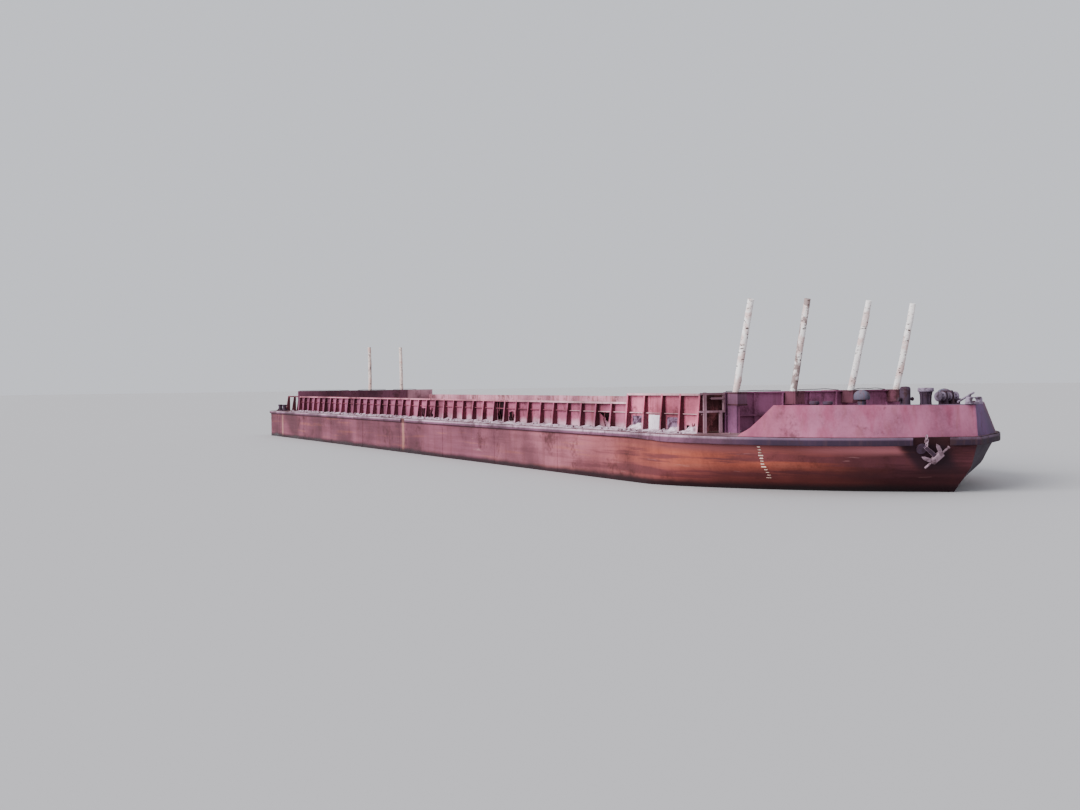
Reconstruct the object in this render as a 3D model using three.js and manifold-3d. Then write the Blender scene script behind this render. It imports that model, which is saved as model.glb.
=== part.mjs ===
// River cargo barge with an open cargo box on deck, at half of its real size.
// Frame: +X to the bow, +Y to port, +Z up, origin under the middle of the flat bottom.
// Units are millimetres, and the constant m is one metre of the real barge.

import * as THREE from 'three';
import { mergeVertices } from 'three/addons/utils/BufferGeometryUtils.js';
import Module from 'manifold-3d';

const wasm = await Module();
wasm.setup();

// Scale and running gaps
const m = 500;
const seat = 0.3;

// Hull
const hullLength = 56.1 * m;
const hullBreadth = 12.2 * m;
const deckZ = 2.25 * m;
const bowEntry = 7.8 * m;
const stemReach = 0.25 * m;
const sternCorner = 0.35 * m;
const noseX = hullLength / 2;
const sternX = -hullLength / 2;
const side = hullBreadth / 2;

// Hull levels from the bottom up: height, narrowing at the bilge, the set of the two ends, and
// the two exponents of the bow's plan, which is sharp at the water and full at the deck
const hullLevels = [
  { height: 0, narrower: 0.4, noseBack: 4.0, sternFore: 3.0, sharp: 1.6, round: 1.3 },
  { height: 0.12, narrower: 0.12, noseBack: 2.7, sternFore: 1.8, sharp: 1.5, round: 1.25 },
  { height: 0.3, narrower: 0, noseBack: 1.6, sternFore: 0.7, sharp: 1.4, round: 1.22 },
  { height: 0.47, narrower: 0, noseBack: 0.95, sternFore: 0, sharp: 1.4, round: 1.22 },
  { height: 1.3, narrower: 0, noseBack: 0.3, sternFore: 0, sharp: 1.7, round: 1.45 },
  { height: deckZ / m, narrower: 0, noseBack: 0, sternFore: 0, sharp: 1.95, round: 1.58 },
];

// Rub rail
const railThickness = 0.09 * m;
const railHeight = 0.19 * m;
const heavyRailHeight = 0.27 * m;
const railGapX = -3.24 * m;
const railGapWidth = 0.54 * m;
const heavyRailX = 18.0 * m;
const bowRailGapY = [-1.88 * m, -0.83 * m];

// Cargo box
const bay = 1.1 * m;
const bayCount = 41;
const wallAftX = -24.4 * m;
const wallForeX = wallAftX + bayCount * bay;
const floorThickness = 0.04 * m;
const wallY = 4.85 * m;
const plate = 0.04 * m;
const wallHeight = 1.05 * m;
const raisedHeight = 1.38 * m;
const raisedBays = 4;
const bracketTop = 0.18 * m;
const bracketFoot = 0.34 * m;
const flangeThickness = 0.05 * m;
const stringerHeight = 0.62 * m;
const stringerDepth = 0.12 * m;
const bulkheadHeight = 1.4 * m;
const bulkheadY = 5.09 * m;
const bulkheadForeX = wallForeX + seat;
const bulkheadAftX = wallAftX - seat;
const foreOpenY = -3.99 * m;
const foreFramePosts = [-4.94 * m, -4.26 * m];
const foreFramePostWidth = 0.14 * m;
const foreWebY = -3.89 * m;
const foreWebFlange = 0.14 * m;

// Torn plating of the starboard wall: the bay, and the heights over the deck between which it is open
const tornPlating = [
  { bayIndex: 19, low: 0.06, high: 0.58 },
  { bayIndex: 27, low: 0.06, high: 0.58 },
  { bayIndex: 27, low: 0.7, high: 0.96 },
  { bayIndex: 28, low: 0.06, high: 0.5 },
  { bayIndex: 35, low: 0.2, high: 0.58 },
  { bayIndex: 37, low: 0.06, high: 0.58 },
  { bayIndex: 39, low: 0.06, high: 0.5 },
];

// Timber stakes and their pockets: place, forward lean in degrees, and length
const foreStakes = [
  { y: -3.68 * m, lean: 14.6, length: 3.66 * m },
  { y: -1.06 * m, lean: 13.1, length: 3.74 * m },
  { y: 1.72 * m, lean: 15.9, length: 3.77 * m },
  { y: 4.08 * m, lean: 14.7, length: 3.71 * m },
];
const aftStakes = [
  { y: 0.3 * m, lean: 0, length: 3.53 * m },
  { y: 2.75 * m, lean: -1.7, length: 3.53 * m },
];
const stakeRadius = 0.12 * m;
const forePocketDepth = 0.6 * m;
const aftPocketDepth = 0.5 * m;
const pocketWidth = 0.42 * m;
const pocketHeight = 0.47 * m;

// Bow bulwark
const bulwarkHeight = 1.0 * m;
const bulwarkInset = 0.05 * m;
const bulwarkLean = 0.34 * m;
const bulwarkStem = 0.5 * m;
const bulwarkPlate = 0.05 * m;
const bulwarkAftX = 23.1 * m;

// Slope of the bulwark's aft ends: distance forward of the foot, and height over the deck
const bulwarkEnds = [
  { forward: 0.0, height: 0.04 },
  { forward: 0.3, height: 0.25 },
  { forward: 0.57, height: 0.65 },
  { forward: 0.78, height: 1.01 },
];

// Colours of the real surfaces
const paint = {
  hull: material(0x9c5f5a, 0.85),
  rail: material(0xb9a2b0, 0.8),
  wall: material(0x95616a, 0.85),
  bulkhead: material(0x6f4358, 0.85),
  gear: material(0x4b4247, 0.7),
  vent: material(0xd9d8d2, 0.7),
  timber: material(0xd9cfc0, 0.9),
};

const barge = new THREE.Group();

function material(color, roughness) {
  return new THREE.MeshStandardMaterial({ color, roughness, metalness: 0 });
}

function add(name, geometry, look, parent = barge) {
  const mesh = new THREE.Mesh(geometry, look);
  mesh.name = name;
  parent.add(mesh);
  return mesh;
}

// Solids and booleans

function toSolid(geometry) {
  const bare = geometry.clone();
  bare.deleteAttribute('normal');
  bare.deleteAttribute('uv');
  const merged = mergeVertices(bare, 1e-3);
  const vertProperties = Float32Array.from(merged.attributes.position.array);
  const triVerts = Uint32Array.from(merged.index.array);
  return new wasm.Manifold(new wasm.Mesh({ numProp: 3, vertProperties, triVerts }));
}

function fromSolid(solid) {
  const mesh = solid.getMesh();
  const geometry = new THREE.BufferGeometry();
  geometry.setAttribute('position', new THREE.BufferAttribute(mesh.vertProperties, 3));
  geometry.setIndex(new THREE.BufferAttribute(mesh.triVerts, 1));
  geometry.computeVertexNormals();
  return geometry;
}

function join(...pieces) {
  return fromSolid(pieces.map(toSolid).reduce((whole, piece) => whole.add(piece)));
}

function cut(piece, ...tools) {
  return fromSolid(tools.map(toSolid).reduce((rest, tool) => rest.subtract(tool), toSolid(piece)));
}

function keep(piece, limit) {
  return fromSolid(toSolid(piece).intersect(toSolid(limit)));
}

function box(x0, x1, y0, y1, z0, z1) {
  const geometry = new THREE.BoxGeometry(x1 - x0, y1 - y0, z1 - z0);
  return geometry.translate((x0 + x1) / 2, (y0 + y1) / 2, (z0 + z1) / 2);
}

function upright(radius, x, y, z0, z1, segments = 16) {
  const geometry = new THREE.CylinderGeometry(radius, radius, z1 - z0, segments);
  return geometry.rotateX(Math.PI / 2).translate(x, y, (z0 + z1) / 2);
}

function crossways(radius, x, y0, y1, z, segments = 16) {
  const geometry = new THREE.CylinderGeometry(radius, radius, y1 - y0, segments);
  return geometry.translate(x, (y0 + y1) / 2, z);
}

// A flat outline in the X-Z plane, made thick along Y from y0 to y1
function sidePlate(points, y0, y1) {
  const shape = new THREE.Shape(points.map(([x, z]) => new THREE.Vector2(x, z)));
  const geometry = new THREE.ExtrudeGeometry(shape, { depth: y1 - y0, bevelEnabled: false });
  return geometry.rotateX(Math.PI / 2).translate(0, y1, 0);
}

// A flat outline in the Y-Z plane, made thick along X from x0 to x1
function crossPlate(points, x0, x1) {
  const shape = new THREE.Shape(points.map(([y, z]) => new THREE.Vector2(y, z)));
  const geometry = new THREE.ExtrudeGeometry(shape, { depth: x1 - x0, bevelEnabled: false });
  return geometry.rotateX(Math.PI / 2).rotateZ(Math.PI / 2).translate(x0, 0, 0);
}

// Closed outline of one hull level, counterclockwise from above; grow moves its edge outward.
// The round of the bow ends in two flat facets that meet at the stem.
function plan(level = hullLevels.at(-1), grow = 0, stem = stemReach) {
  const steps = 12;
  const facetStep = 4;
  const nose = noseX - stemReach - level.noseBack * m + grow;
  const stern = sternX + level.sternFore * m - grow;
  const half = side + grow;
  const starboard = [[stern, -half + sternCorner], [stern + sternCorner, -half]];
  for (let i = steps; i >= facetStep; i -= 1) {
    const aft = bowEntry * (i / steps) ** 2;
    const along = 1 - aft / bowEntry;
    starboard.push([nose - aft, -half * (1 - along ** level.sharp) ** (1 / level.round)]);
  }
  const port = starboard.map(([x, y]) => [x, -y]).reverse();
  return [...starboard, [nose + stem, 0], ...port].map(([x, y]) => new THREE.Vector2(x, y));
}

function hullRing(level) {
  const shrink = 1 - (level.narrower * m) / side;
  return plan(level).map(({ x, y }) => new THREE.Vector3(x, y * shrink, level.height * m));
}

function prism(outline, z0, z1) {
  const shape = new THREE.Shape(outline);
  const geometry = new THREE.ExtrudeGeometry(shape, { depth: z1 - z0, bevelEnabled: false });
  return geometry.translate(0, 0, z0);
}

// Skin over level rings with the same number of points, closed by flat ends
function loft(rings) {
  const count = rings[0].length;
  const positions = rings.flat().flatMap((point) => [point.x, point.y, point.z]);
  const index = [];
  for (let level = 0; level < rings.length - 1; level += 1) {
    for (let i = 0; i < count; i += 1) {
      const a = level * count + i;
      const b = level * count + ((i + 1) % count);
      index.push(a, b, b + count, a, b + count, a + count);
    }
  }
  const top = (rings.length - 1) * count;
  for (let i = 1; i < count - 1; i += 1) {
    index.push(0, i + 1, i);
    index.push(top, top + i, top + i + 1);
  }
  const geometry = new THREE.BufferGeometry();
  geometry.setAttribute('position', new THREE.Float32BufferAttribute(positions, 3));
  geometry.setIndex(index);
  geometry.computeVertexNormals();
  return geometry;
}

// Hull, with the wear plating that lies on its deck inside the cargo box

function buildHull() {
  add('hull', loft(hullLevels.map(hullRing)), paint.hull);
  const edge = wallY - plate - seat;
  const floor = box(wallAftX, wallForeX, -edge, edge, deckZ, deckZ + floorThickness);
  add('cargo_floor', floor, paint.bulkhead);
}

// Rub rail: one band round the deck edge, parted at its real joints

function buildRubRails() {
  const low = deckZ - railHeight;
  const heavyLow = deckZ - heavyRailHeight;
  const reach = 2 * railThickness;
  const outer = plan(undefined, railThickness);
  const inner = prism(plan(undefined, seat), heavyLow - 1, deckZ + 1);
  const light = cut(prism(outer, low, deckZ), inner);
  const heavy = cut(prism(outer, heavyLow, deckZ), inner);
  const past = side + reach;
  const joint = seat / 2;
  const bowX = noseX - stemReach - bowEntry;
  const corner = sternX + sternCorner;
  const gapEnd = railGapX + railGapWidth;
  const runs = [
    { name: 'rub_rail_stern', band: light, from: sternX - reach, to: corner, y0: -past, y1: past },
    { name: 'rub_rail_starboard_aft', band: light, from: corner, to: railGapX, y0: -past, y1: 0 },
    { name: 'rub_rail_starboard_mid', band: light, from: gapEnd, to: heavyRailX, y0: -past, y1: 0 },
    { name: 'rub_rail_starboard_fore', band: heavy, from: heavyRailX, to: bowX, y0: -past, y1: 0 },
    { name: 'rub_rail_starboard_bow', band: heavy, from: bowX, to: noseX, y0: -past, y1: bowRailGapY[0] },
    { name: 'rub_rail_port_aft', band: light, from: corner, to: heavyRailX, y0: 0, y1: past },
    { name: 'rub_rail_port_fore', band: heavy, from: heavyRailX, to: bowX, y0: 0, y1: past },
    { name: 'rub_rail_port_bow', band: heavy, from: bowX, to: noseX + reach, y0: bowRailGapY[1], y1: past },
  ];
  for (const { name, band, from, to, y0, y1 } of runs) {
    const limit = box(from + joint, to - joint, y0, y1, heavyLow - 1, deckZ + 1);
    add(name, keep(band, limit), paint.rail);
  }
}

// Side walls of the cargo box: plate, top flange, stringer and one bracket a bay.
// The raised stretches are given by their first and last bay.

function sideWall(raised) {
  const top = deckZ + wallHeight;
  const inner = wallY - plate;
  const steps = [[wallAftX, deckZ], [wallForeX, deckZ]];
  const highAt = (bayIndex) => raised.some(([first, last]) => bayIndex >= first && bayIndex < last);
  for (let i = bayCount - 1; i >= 0; i -= 1) {
    const z = highAt(i) ? deckZ + raisedHeight : top;
    steps.push([wallAftX + (i + 1) * bay, z], [wallAftX + i * bay, z]);
  }
  const corners = steps.filter(([x, z], i) => {
    const before = steps[(i + steps.length - 1) % steps.length];
    const after = steps[(i + 1) % steps.length];
    const level = z === before[1] && z === after[1];
    return !level && !(x === before[0] && z === before[1]);
  });
  const pieces = [sidePlate(corners, inner, wallY)];
  const shelf = deckZ + stringerHeight;
  pieces.push(box(wallAftX, wallForeX, inner, wallY + stringerDepth, shelf, shelf + flangeThickness));
  const spans = [[0, bayCount, top], ...raised.map(([first, last]) => [first, last, deckZ + raisedHeight])];
  for (const [first, last, z] of spans) {
    const from = wallAftX + first * bay;
    const to = wallAftX + last * bay;
    pieces.push(box(from, to, inner, wallY + bracketTop, z - flangeThickness, z));
  }
  for (let i = 0; i <= bayCount; i += 1) {
    const z = highAt(i) || highAt(i - 1) ? deckZ + raisedHeight : top;
    const x = Math.min(Math.max(wallAftX + i * bay, wallAftX + plate / 2), wallForeX - plate / 2);
    const outline = [[inner, deckZ], [wallY + bracketFoot, deckZ], [wallY + bracketTop, z], [inner, z]];
    pieces.push(crossPlate(outline, x - plate / 2, x + plate / 2));
  }
  return join(...pieces);
}

function mirrorY(geometry) {
  const mirrored = geometry.clone().scale(1, -1, 1);
  const { array } = mirrored.index;
  for (let i = 0; i < array.length; i += 3) {
    [array[i], array[i + 1]] = [array[i + 1], array[i]];
  }
  mirrored.computeVertexNormals();
  return mirrored;
}

function buildWalls() {
  const foreRaise = [bayCount - raisedBays, bayCount];
  const wall = sideWall([foreRaise]);
  const holes = tornPlating.map(({ bayIndex, low, high }) => {
    const aft = wallAftX + bayIndex * bay;
    const tear = 0.1 * m;
    const z = deckZ + low * m;
    const top = deckZ + high * m;
    const outline = [
      [aft + tear, z], [aft + bay - 1.5 * tear, z], [aft + bay - tear, top - tear],
      [aft + 0.6 * bay, top], [aft + 2 * tear, top - tear / 2],
    ];
    return sidePlate(outline, -wallY - tear / 2, -wallY + m);
  });
  add('cargo_wall_starboard', cut(mirrorY(wall), ...holes), paint.wall);
  add('cargo_wall_port', wall, paint.wall);
}

// Box of one bulkhead or pocket. x is the bulkhead's inner face, and the box reaches from one
// depth to another outside it; out is +1 where the outside is forward and -1 where it is aft.
function outside(x, out, depth0, depth1, y0, y1, z0, z1) {
  const xs = [x + out * depth0, x + out * depth1];
  return box(Math.min(...xs), Math.max(...xs), y0, y1, z0, z1);
}

// End bulkheads: plate with a stringer, ribs and a top flange on the outer face. The flange is
// left out where a stake pocket sits, and the ribs below a pocket stop short of it.

function bulkhead(x, out, y0, y1, stakeYs) {
  const top = deckZ + bulkheadHeight;
  const ribDepth = 0.12 * m;
  const ribSpacing = 1.3 * m;
  const stringerZ = deckZ + 0.55 * m;
  const half = pocketWidth / 2 + seat;
  const pieces = [
    outside(x, out, 0, plate, y0, y1, deckZ, top),
    outside(x, out, 0, ribDepth, y0, y1, stringerZ, stringerZ + flangeThickness),
  ];
  const ends = [y0, ...stakeYs.flatMap((y) => [y - half, y + half]), y1];
  for (let i = 0; i < ends.length; i += 2) {
    pieces.push(outside(x, out, 0, ribDepth, ends[i], ends[i + 1], top - flangeThickness, top));
  }
  for (let y = y0; y < y1; y += ribSpacing) {
    const below = stakeYs.some((stakeY) => Math.abs(y + plate / 2 - stakeY) < half + plate);
    const ribTop = below ? top - pocketHeight - seat : top;
    pieces.push(outside(x, out, 0, ribDepth, y, y + plate, deckZ, ribTop));
  }
  return join(...pieces);
}

// The fore bulkhead also has a deep web with an edge flange under its starboard stake pocket

function buildBulkheads() {
  const fore = bulkhead(bulkheadForeX, 1, foreOpenY, bulkheadY, foreStakes.map(({ y }) => y));
  const webTop = deckZ + bulkheadHeight - pocketHeight - seat;
  const edge = forePocketDepth - plate;
  const web = outside(bulkheadForeX, 1, 0, forePocketDepth, foreWebY, foreWebY + plate, deckZ, webTop);
  const flangeEnd = foreWebY + foreWebFlange;
  const flange = outside(bulkheadForeX, 1, edge, forePocketDepth, foreWebY, flangeEnd, deckZ, webTop);
  add('bulkhead_fore', join(fore, web, flange), paint.bulkhead);
  const aft = bulkhead(bulkheadAftX, -1, -bulkheadY, bulkheadY, aftStakes.map(({ y }) => y));
  add('bulkhead_aft', aft, paint.bulkhead);
}

// Open frames where there is no plating: one in the fore bulkhead's starboard end, and two that
// carry on the lines of the side walls aft

function buildOpenFrames() {
  const thick = 0.09 * m;
  const depth = 0.12 * m;
  const foreEnd = foreOpenY - seat;
  const forePosts = foreFramePosts.map((y) => (
    outside(bulkheadForeX, 1, 0, depth, y, y + foreFramePostWidth, deckZ, deckZ + bulkheadHeight)
  ));
  const foreBars = [0.7 * m, 1.15 * m, bulkheadHeight - thick].map((z) => (
    outside(bulkheadForeX, 1, 0, depth, -bulkheadY, foreEnd, deckZ + z, deckZ + z + thick)
  ));
  add('open_frame_fore_starboard', join(...forePosts, ...foreBars), paint.wall);
  const aftPosts = [-27.25 * m, -25.85 * m, -24.75 * m];
  const aftEnd = bulkheadAftX - depth - seat;
  const frameTop = deckZ + wallHeight;
  const rail = box(aftPosts[0], aftEnd, wallY, wallY + thick, frameTop - thick, frameTop);
  const aft = join(rail, ...aftPosts.map((x) => {
    const outline = [[wallY, deckZ], [wallY + 0.3 * m, deckZ], [wallY + depth, frameTop], [wallY, frameTop]];
    return crossPlate(outline, x, x + thick);
  }));
  add('open_frame_aft_starboard', mirrorY(aft), paint.wall);
  add('open_frame_aft_port', aft, paint.wall);
}

// Stake pockets: boxes with a floor and an open top, on the outer face of a bulkhead

function pocket(x, y, out, depth) {
  const top = deckZ + bulkheadHeight;
  const low = top - pocketHeight;
  const back = plate + seat;
  const half = pocketWidth / 2;
  const block = outside(x, out, back, back + depth, y - half, y + half, low, top);
  const inner = half - plate;
  const front = back + depth - plate;
  const hollow = outside(x, out, back + plate, front, y - inner, y + inner, low + plate, top + 1);
  return cut(block, hollow);
}

// Stakes: peeled trunks that stand on their pocket's floor, the fore ones leaning forward

function stake(footX, floorZ, { y, lean, length }) {
  const angle = THREE.MathUtils.degToRad(lean);
  const trunk = new THREE.CylinderGeometry(stakeRadius * 0.86, stakeRadius, length, 14, 4);
  trunk.rotateX(Math.PI / 2).translate(0, 0, length / 2);
  trunk.rotateY(angle);
  const lift = stakeRadius * Math.abs(Math.sin(angle)) + seat;
  return trunk.translate(footX, y, floorZ + lift);
}

function buildStakes() {
  const floor = deckZ + bulkheadHeight - pocketHeight + plate;
  const foreFootX = bulkheadForeX + 2 * plate + stakeRadius + 4;
  foreStakes.forEach((place, i) => {
    add(`stake_pocket_fore_${i + 1}`, pocket(bulkheadForeX, place.y, 1, forePocketDepth), paint.bulkhead);
    add(`stake_fore_${i + 1}`, stake(foreFootX, floor, place), paint.timber);
  });
  const aftFootX = bulkheadAftX - plate - aftPocketDepth / 2;
  aftStakes.forEach((place, i) => {
    add(`stake_pocket_aft_${i + 1}`, pocket(bulkheadAftX, place.y, -1, aftPocketDepth), paint.bulkhead);
    add(`stake_aft_${i + 1}`, stake(aftFootX, floor, place), paint.timber);
  });
}

// Bow bulwark: a plate that follows the deck edge round the bow and leans inboard, less so at
// the stem, with a mooring fairlead on its top there

function bulwarkEdge({ inset, stem }) {
  const edge = plan(undefined, -inset, stem);
  return edge.slice(2, edge.length - 2);
}

function buildBulwark() {
  const top = deckZ + bulwarkHeight;
  const leaning = bulwarkInset + bulwarkLean;
  const rims = [
    { inset: bulwarkInset + bulwarkPlate, stem: stemReach, z: deckZ },
    { inset: leaning + bulwarkPlate, stem: bulwarkStem, z: top },
    { inset: leaning, stem: bulwarkStem, z: top },
    { inset: bulwarkInset, stem: stemReach, z: deckZ },
  ];
  const edges = rims.map(bulwarkEdge);
  const corner = (i, k) => new THREE.Vector3(edges[k][i].x, edges[k][i].y, rims[k].z);
  const rings = edges[0].map((_, i) => rims.map((__, k) => corner(i, k)));
  const aft = bulwarkAftX - bulwarkHeight * 8;
  const ends = bulwarkEnds.map(({ forward, height }) => [bulwarkAftX + forward * m, deckZ + height * m]);
  const slope = [[aft, deckZ - 1], [bulwarkAftX, deckZ - 1], ...ends, [aft, deckZ + 1.01 * m]];
  const wedge = sidePlate(slope, -side, side);
  add('bow_bulwark', cut(loft(rings), wedge), paint.wall);
  const rim = noseX - stemReach - leaning + bulwarkStem;
  const base = top + seat;
  const foot = box(rim - 0.16 * m, rim + 0.06 * m, -0.3 * m, 0.3 * m, base, base + 0.05 * m);
  const horns = [-1, 1].map((hand) => {
    const outline = [[0.13, 0], [0.3, 0], [0.26, 0.22], [0.08, 0.2], [0.17, 0.12]];
    const points = outline.map(([y, z]) => [hand * y * m, base + z * m]);
    return crossPlate(points, rim - 0.14 * m, rim + 0.04 * m);
  });
  add('stem_fairlead', join(foot, ...horns), paint.rail);
}

// Turned body round the Y axis, from pairs of radius and height in real metres
function turned(pairs, segments) {
  const profile = pairs.map(([radius, along]) => new THREE.Vector2(radius * m, along * m));
  return new THREE.LatheGeometry(profile, segments);
}

// Hand windlass on the foredeck: two cheeks on a bed, with a shaft that carries a drum and two heads

const windlassX = 25.9 * m;
const windlassY = 1.1 * m;
const windlassZ = deckZ + 1.2 * m;
const cheekThickness = 0.06 * m;
const shaftRadius = 0.05 * m;
const bearingGap = 0.6;

function buildWindlass() {
  const cheeks = [-0.15 * m, 0.15 * m].map((offset) => {
    const y0 = windlassY + offset - cheekThickness / 2;
    const outline = [
      [windlassX - 0.32 * m, deckZ + 0.04 * m], [windlassX + 0.32 * m, deckZ + 0.04 * m],
      [windlassX + 0.11 * m, windlassZ + 0.2 * m], [windlassX - 0.11 * m, windlassZ + 0.2 * m],
    ];
    return sidePlate(outline, y0, y0 + cheekThickness);
  });
  const bedY = 0.3 * m;
  const bedX = 0.4 * m;
  const bedTop = deckZ + 0.08 * m;
  const bed = box(windlassX - bedX, windlassX + bedX, windlassY - bedY, windlassY + bedY, deckZ, bedTop);
  const tieY = 0.15 * m;
  const tie = crossways(0.04 * m, windlassX, windlassY - tieY, windlassY + tieY, deckZ + 0.55 * m, 12);
  const bore = crossways(shaftRadius + bearingGap, windlassX, windlassY - m, windlassY + m, windlassZ, 24);
  add('windlass_frame', cut(join(bed, tie, ...cheeks), bore), paint.gear);
  const shaft = turned([
    [0, -0.42], [0.16, -0.42], [0.16, -0.38], [0.1, -0.34], [0.1, -0.27], [0.16, -0.23], [0.16, -0.2],
    [0.05, -0.2], [0.05, -0.1], [0.15, -0.1], [0.15, -0.07], [0.11, -0.07],
    [0.11, 0.07], [0.15, 0.07], [0.15, 0.1], [0.05, 0.1], [0.05, 0.2],
    [0.16, 0.2], [0.16, 0.23], [0.1, 0.27], [0.1, 0.34], [0.16, 0.38], [0.16, 0.42], [0, 0.42],
  ], 20);
  add('windlass_shaft', shaft.translate(windlassX, windlassY, windlassZ), paint.gear);
}

// Capstan on the centreline: a pedestal with a spindle, and a drum that turns on it

const capstanX = 26.0 * m;
const pedestalHeight = 0.74 * m;

function buildCapstan() {
  const pedestal = turned([
    [0, 0], [0.3, 0], [0.3, 0.05], [0.2, 0.12], [0.2, 0.74], [0.06, 0.74], [0.06, 1.0], [0, 1.0],
  ], 24);
  add('capstan_pedestal', pedestal.rotateX(Math.PI / 2).translate(capstanX, 0, deckZ), paint.gear);
  const bore = shaftRadius + 0.01 * m + bearingGap;
  const drum = turned([
    [0, 0.3], [bore / m, 0.3], [bore / m, 0], [0.24, 0], [0.24, 0.05], [0.17, 0.12], [0.15, 0.36],
    [0.19, 0.6], [0.25, 0.64], [0.25, 0.73], [0.22, 0.75], [0, 0.75],
  ], 24);
  const low = deckZ + pedestalHeight + 0.01 * m;
  add('capstan_drum', drum.rotateX(Math.PI / 2).translate(capstanX, 0, low), paint.gear);
}

// Double bollards: two posts with caps on one foot plate

function bollards(x, y, height, reach) {
  const radius = 0.13 * m;
  const footX = reach + 0.25 * m;
  const pieces = [box(x - footX, x + footX, y - 0.24 * m, y + 0.24 * m, deckZ, deckZ + 0.05 * m)];
  for (const postX of [x - reach, x + reach]) {
    pieces.push(upright(radius, postX, y, deckZ, deckZ + height));
    pieces.push(upright(radius * 1.25, postX, y, deckZ + height - 0.08 * m, deckZ + height));
  }
  return join(...pieces);
}

function buildBollards() {
  const places = [
    { name: 'bollards_fore_starboard', x: 24.4, y: -3.0, height: 1.1, reach: 0.3 },
    { name: 'bollards_fore_port', x: 24.4, y: 3.0, height: 1.1, reach: 0.3 },
    { name: 'bollards_aft_starboard', x: -26.9, y: -5.5, height: 0.44, reach: 0.5 },
    { name: 'bollards_aft_port', x: -26.9, y: 5.5, height: 0.44, reach: 0.5 },
  ];
  for (const { name, x, y, height, reach } of places) {
    add(name, bollards(x * m, y * m, height * m, reach * m), paint.gear);
  }
}

// Deck hatches: a square coaming with a lid hinged on its aft side

const hatchSize = 0.8 * m;
const coamingHeight = 0.35 * m;
const lidThickness = 0.05 * m;
const lidOverhang = 0.04 * m;

function buildHatch(label, x, y) {
  const half = hatchSize / 2;
  const top = deckZ + coamingHeight;
  const wall = 0.04 * m;
  const block = box(x - half, x + half, y - half, y + half, deckZ, top);
  const inner = half - wall;
  const hollow = box(x - inner, x + inner, y - inner, y + inner, deckZ + 0.02 * m, top + 1);
  add(`${label}_coaming`, cut(block, hollow), paint.gear);
  const reach = half + lidOverhang;
  const lid = box(x - reach, x + reach, y - reach, y + reach, top + seat, top + seat + lidThickness);
  const gripX = x + half - 0.2 * m;
  const gripZ = top + lidThickness;
  const handle = box(gripX, gripX + 0.1 * m, y - 0.1 * m, y + 0.1 * m, gripZ, gripZ + 0.06 * m);
  add(`${label}_lid`, join(lid, handle), paint.bulkhead);
}

// Mushroom ventilators with pale caps

function buildVent(name, x, y) {
  const vent = turned([
    [0, 0], [0.2, 0], [0.2, 0.03], [0.13, 0.05], [0.13, 1.1], [0.26, 1.14],
    [0.26, 1.26], [0.2, 1.38], [0.09, 1.44], [0, 1.45],
  ], 16);
  add(name, vent.rotateX(Math.PI / 2).translate(x, y, deckZ), paint.vent);
}

// Towing post to starboard of the capstan, with a cross pin

function buildTowingPost() {
  const x = 26.1 * m;
  const y = -1.05 * m;
  const post = upright(0.165 * m, x, y, deckZ, deckZ + 1.55 * m, 18);
  const foot = upright(0.26 * m, x, y, deckZ, deckZ + 0.05 * m, 18);
  const pin = crossways(0.05 * m, x, y - 0.34 * m, y + 0.34 * m, deckZ + 1.15 * m, 12);
  add('towing_post', join(post, foot, pin), paint.gear);
}

// Anchor on the starboard bow, with its shank hauled up over its hawse lip.
// Both are drawn upright, with the plating at x = 0, and then laid on the facet beside the stem.

const anchorDrop = 0.38 * m;
const anchorAft = 0.5 * m;
const anchorSwing = 0.85;
const hawseRadius = 0.17 * m;
const hawseLip = 0.05 * m;
const shankLength = 0.34 * m;

function layOnBow(geometry) {
  const [low, high] = hullLevels.slice(-2).map(hullRing);
  const ahead = (high.length - 1) / 2;
  const along = high[ahead].clone().sub(high[ahead - 1]).normalize();
  const rise = high[ahead - 1].clone().sub(low[ahead - 1]);
  const out = along.clone().cross(rise).normalize();
  const up = out.clone().cross(along);
  const middle = high[ahead].clone().add(high[ahead - 1]).multiplyScalar(0.5);
  middle.addScaledVector(up, -anchorDrop).addScaledVector(along, -anchorAft);
  return geometry.applyMatrix4(new THREE.Matrix4().makeBasis(out, along, up).setPosition(middle));
}

function buildAnchor() {
  const lip = new THREE.CylinderGeometry(hawseRadius, hawseRadius, hawseLip, 20);
  lip.rotateZ(Math.PI / 2).translate(hawseLip / 2 + seat, 0, 0);
  add('hawse_lip_starboard', layOnBow(lip), paint.gear);
  const back = hawseLip + 2 * seat;
  const front = back + 0.11 * m;
  const top = 0.06 * m;
  const low = -hawseRadius - shankLength;
  const shank = box(back, front, -0.055 * m, 0.055 * m, low, top);
  const stock = box(back, front - 0.01 * m, -0.47 * m, 0.47 * m, low - 0.05 * m, low + 0.05 * m);
  const crown = box(back, front + 0.03 * m, -0.22 * m, 0.22 * m, low - 0.1 * m, low + 0.07 * m);
  const flukes = [-1, 1].map((hand) => {
    const outline = [[0.1, 0], [0.22, 0], [0.34, 0.3], [0.3, 0.44], [0.2, 0.34]];
    const points = outline.map(([y, z]) => [hand * y * m, low + z * m]);
    return crossPlate(points, back + 0.05 * m, back + 0.12 * m);
  });
  const anchor = join(shank, stock, crown, ...flukes).rotateX(anchorSwing);
  add('anchor_starboard', layOnBow(anchor), paint.gear);
}

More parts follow.
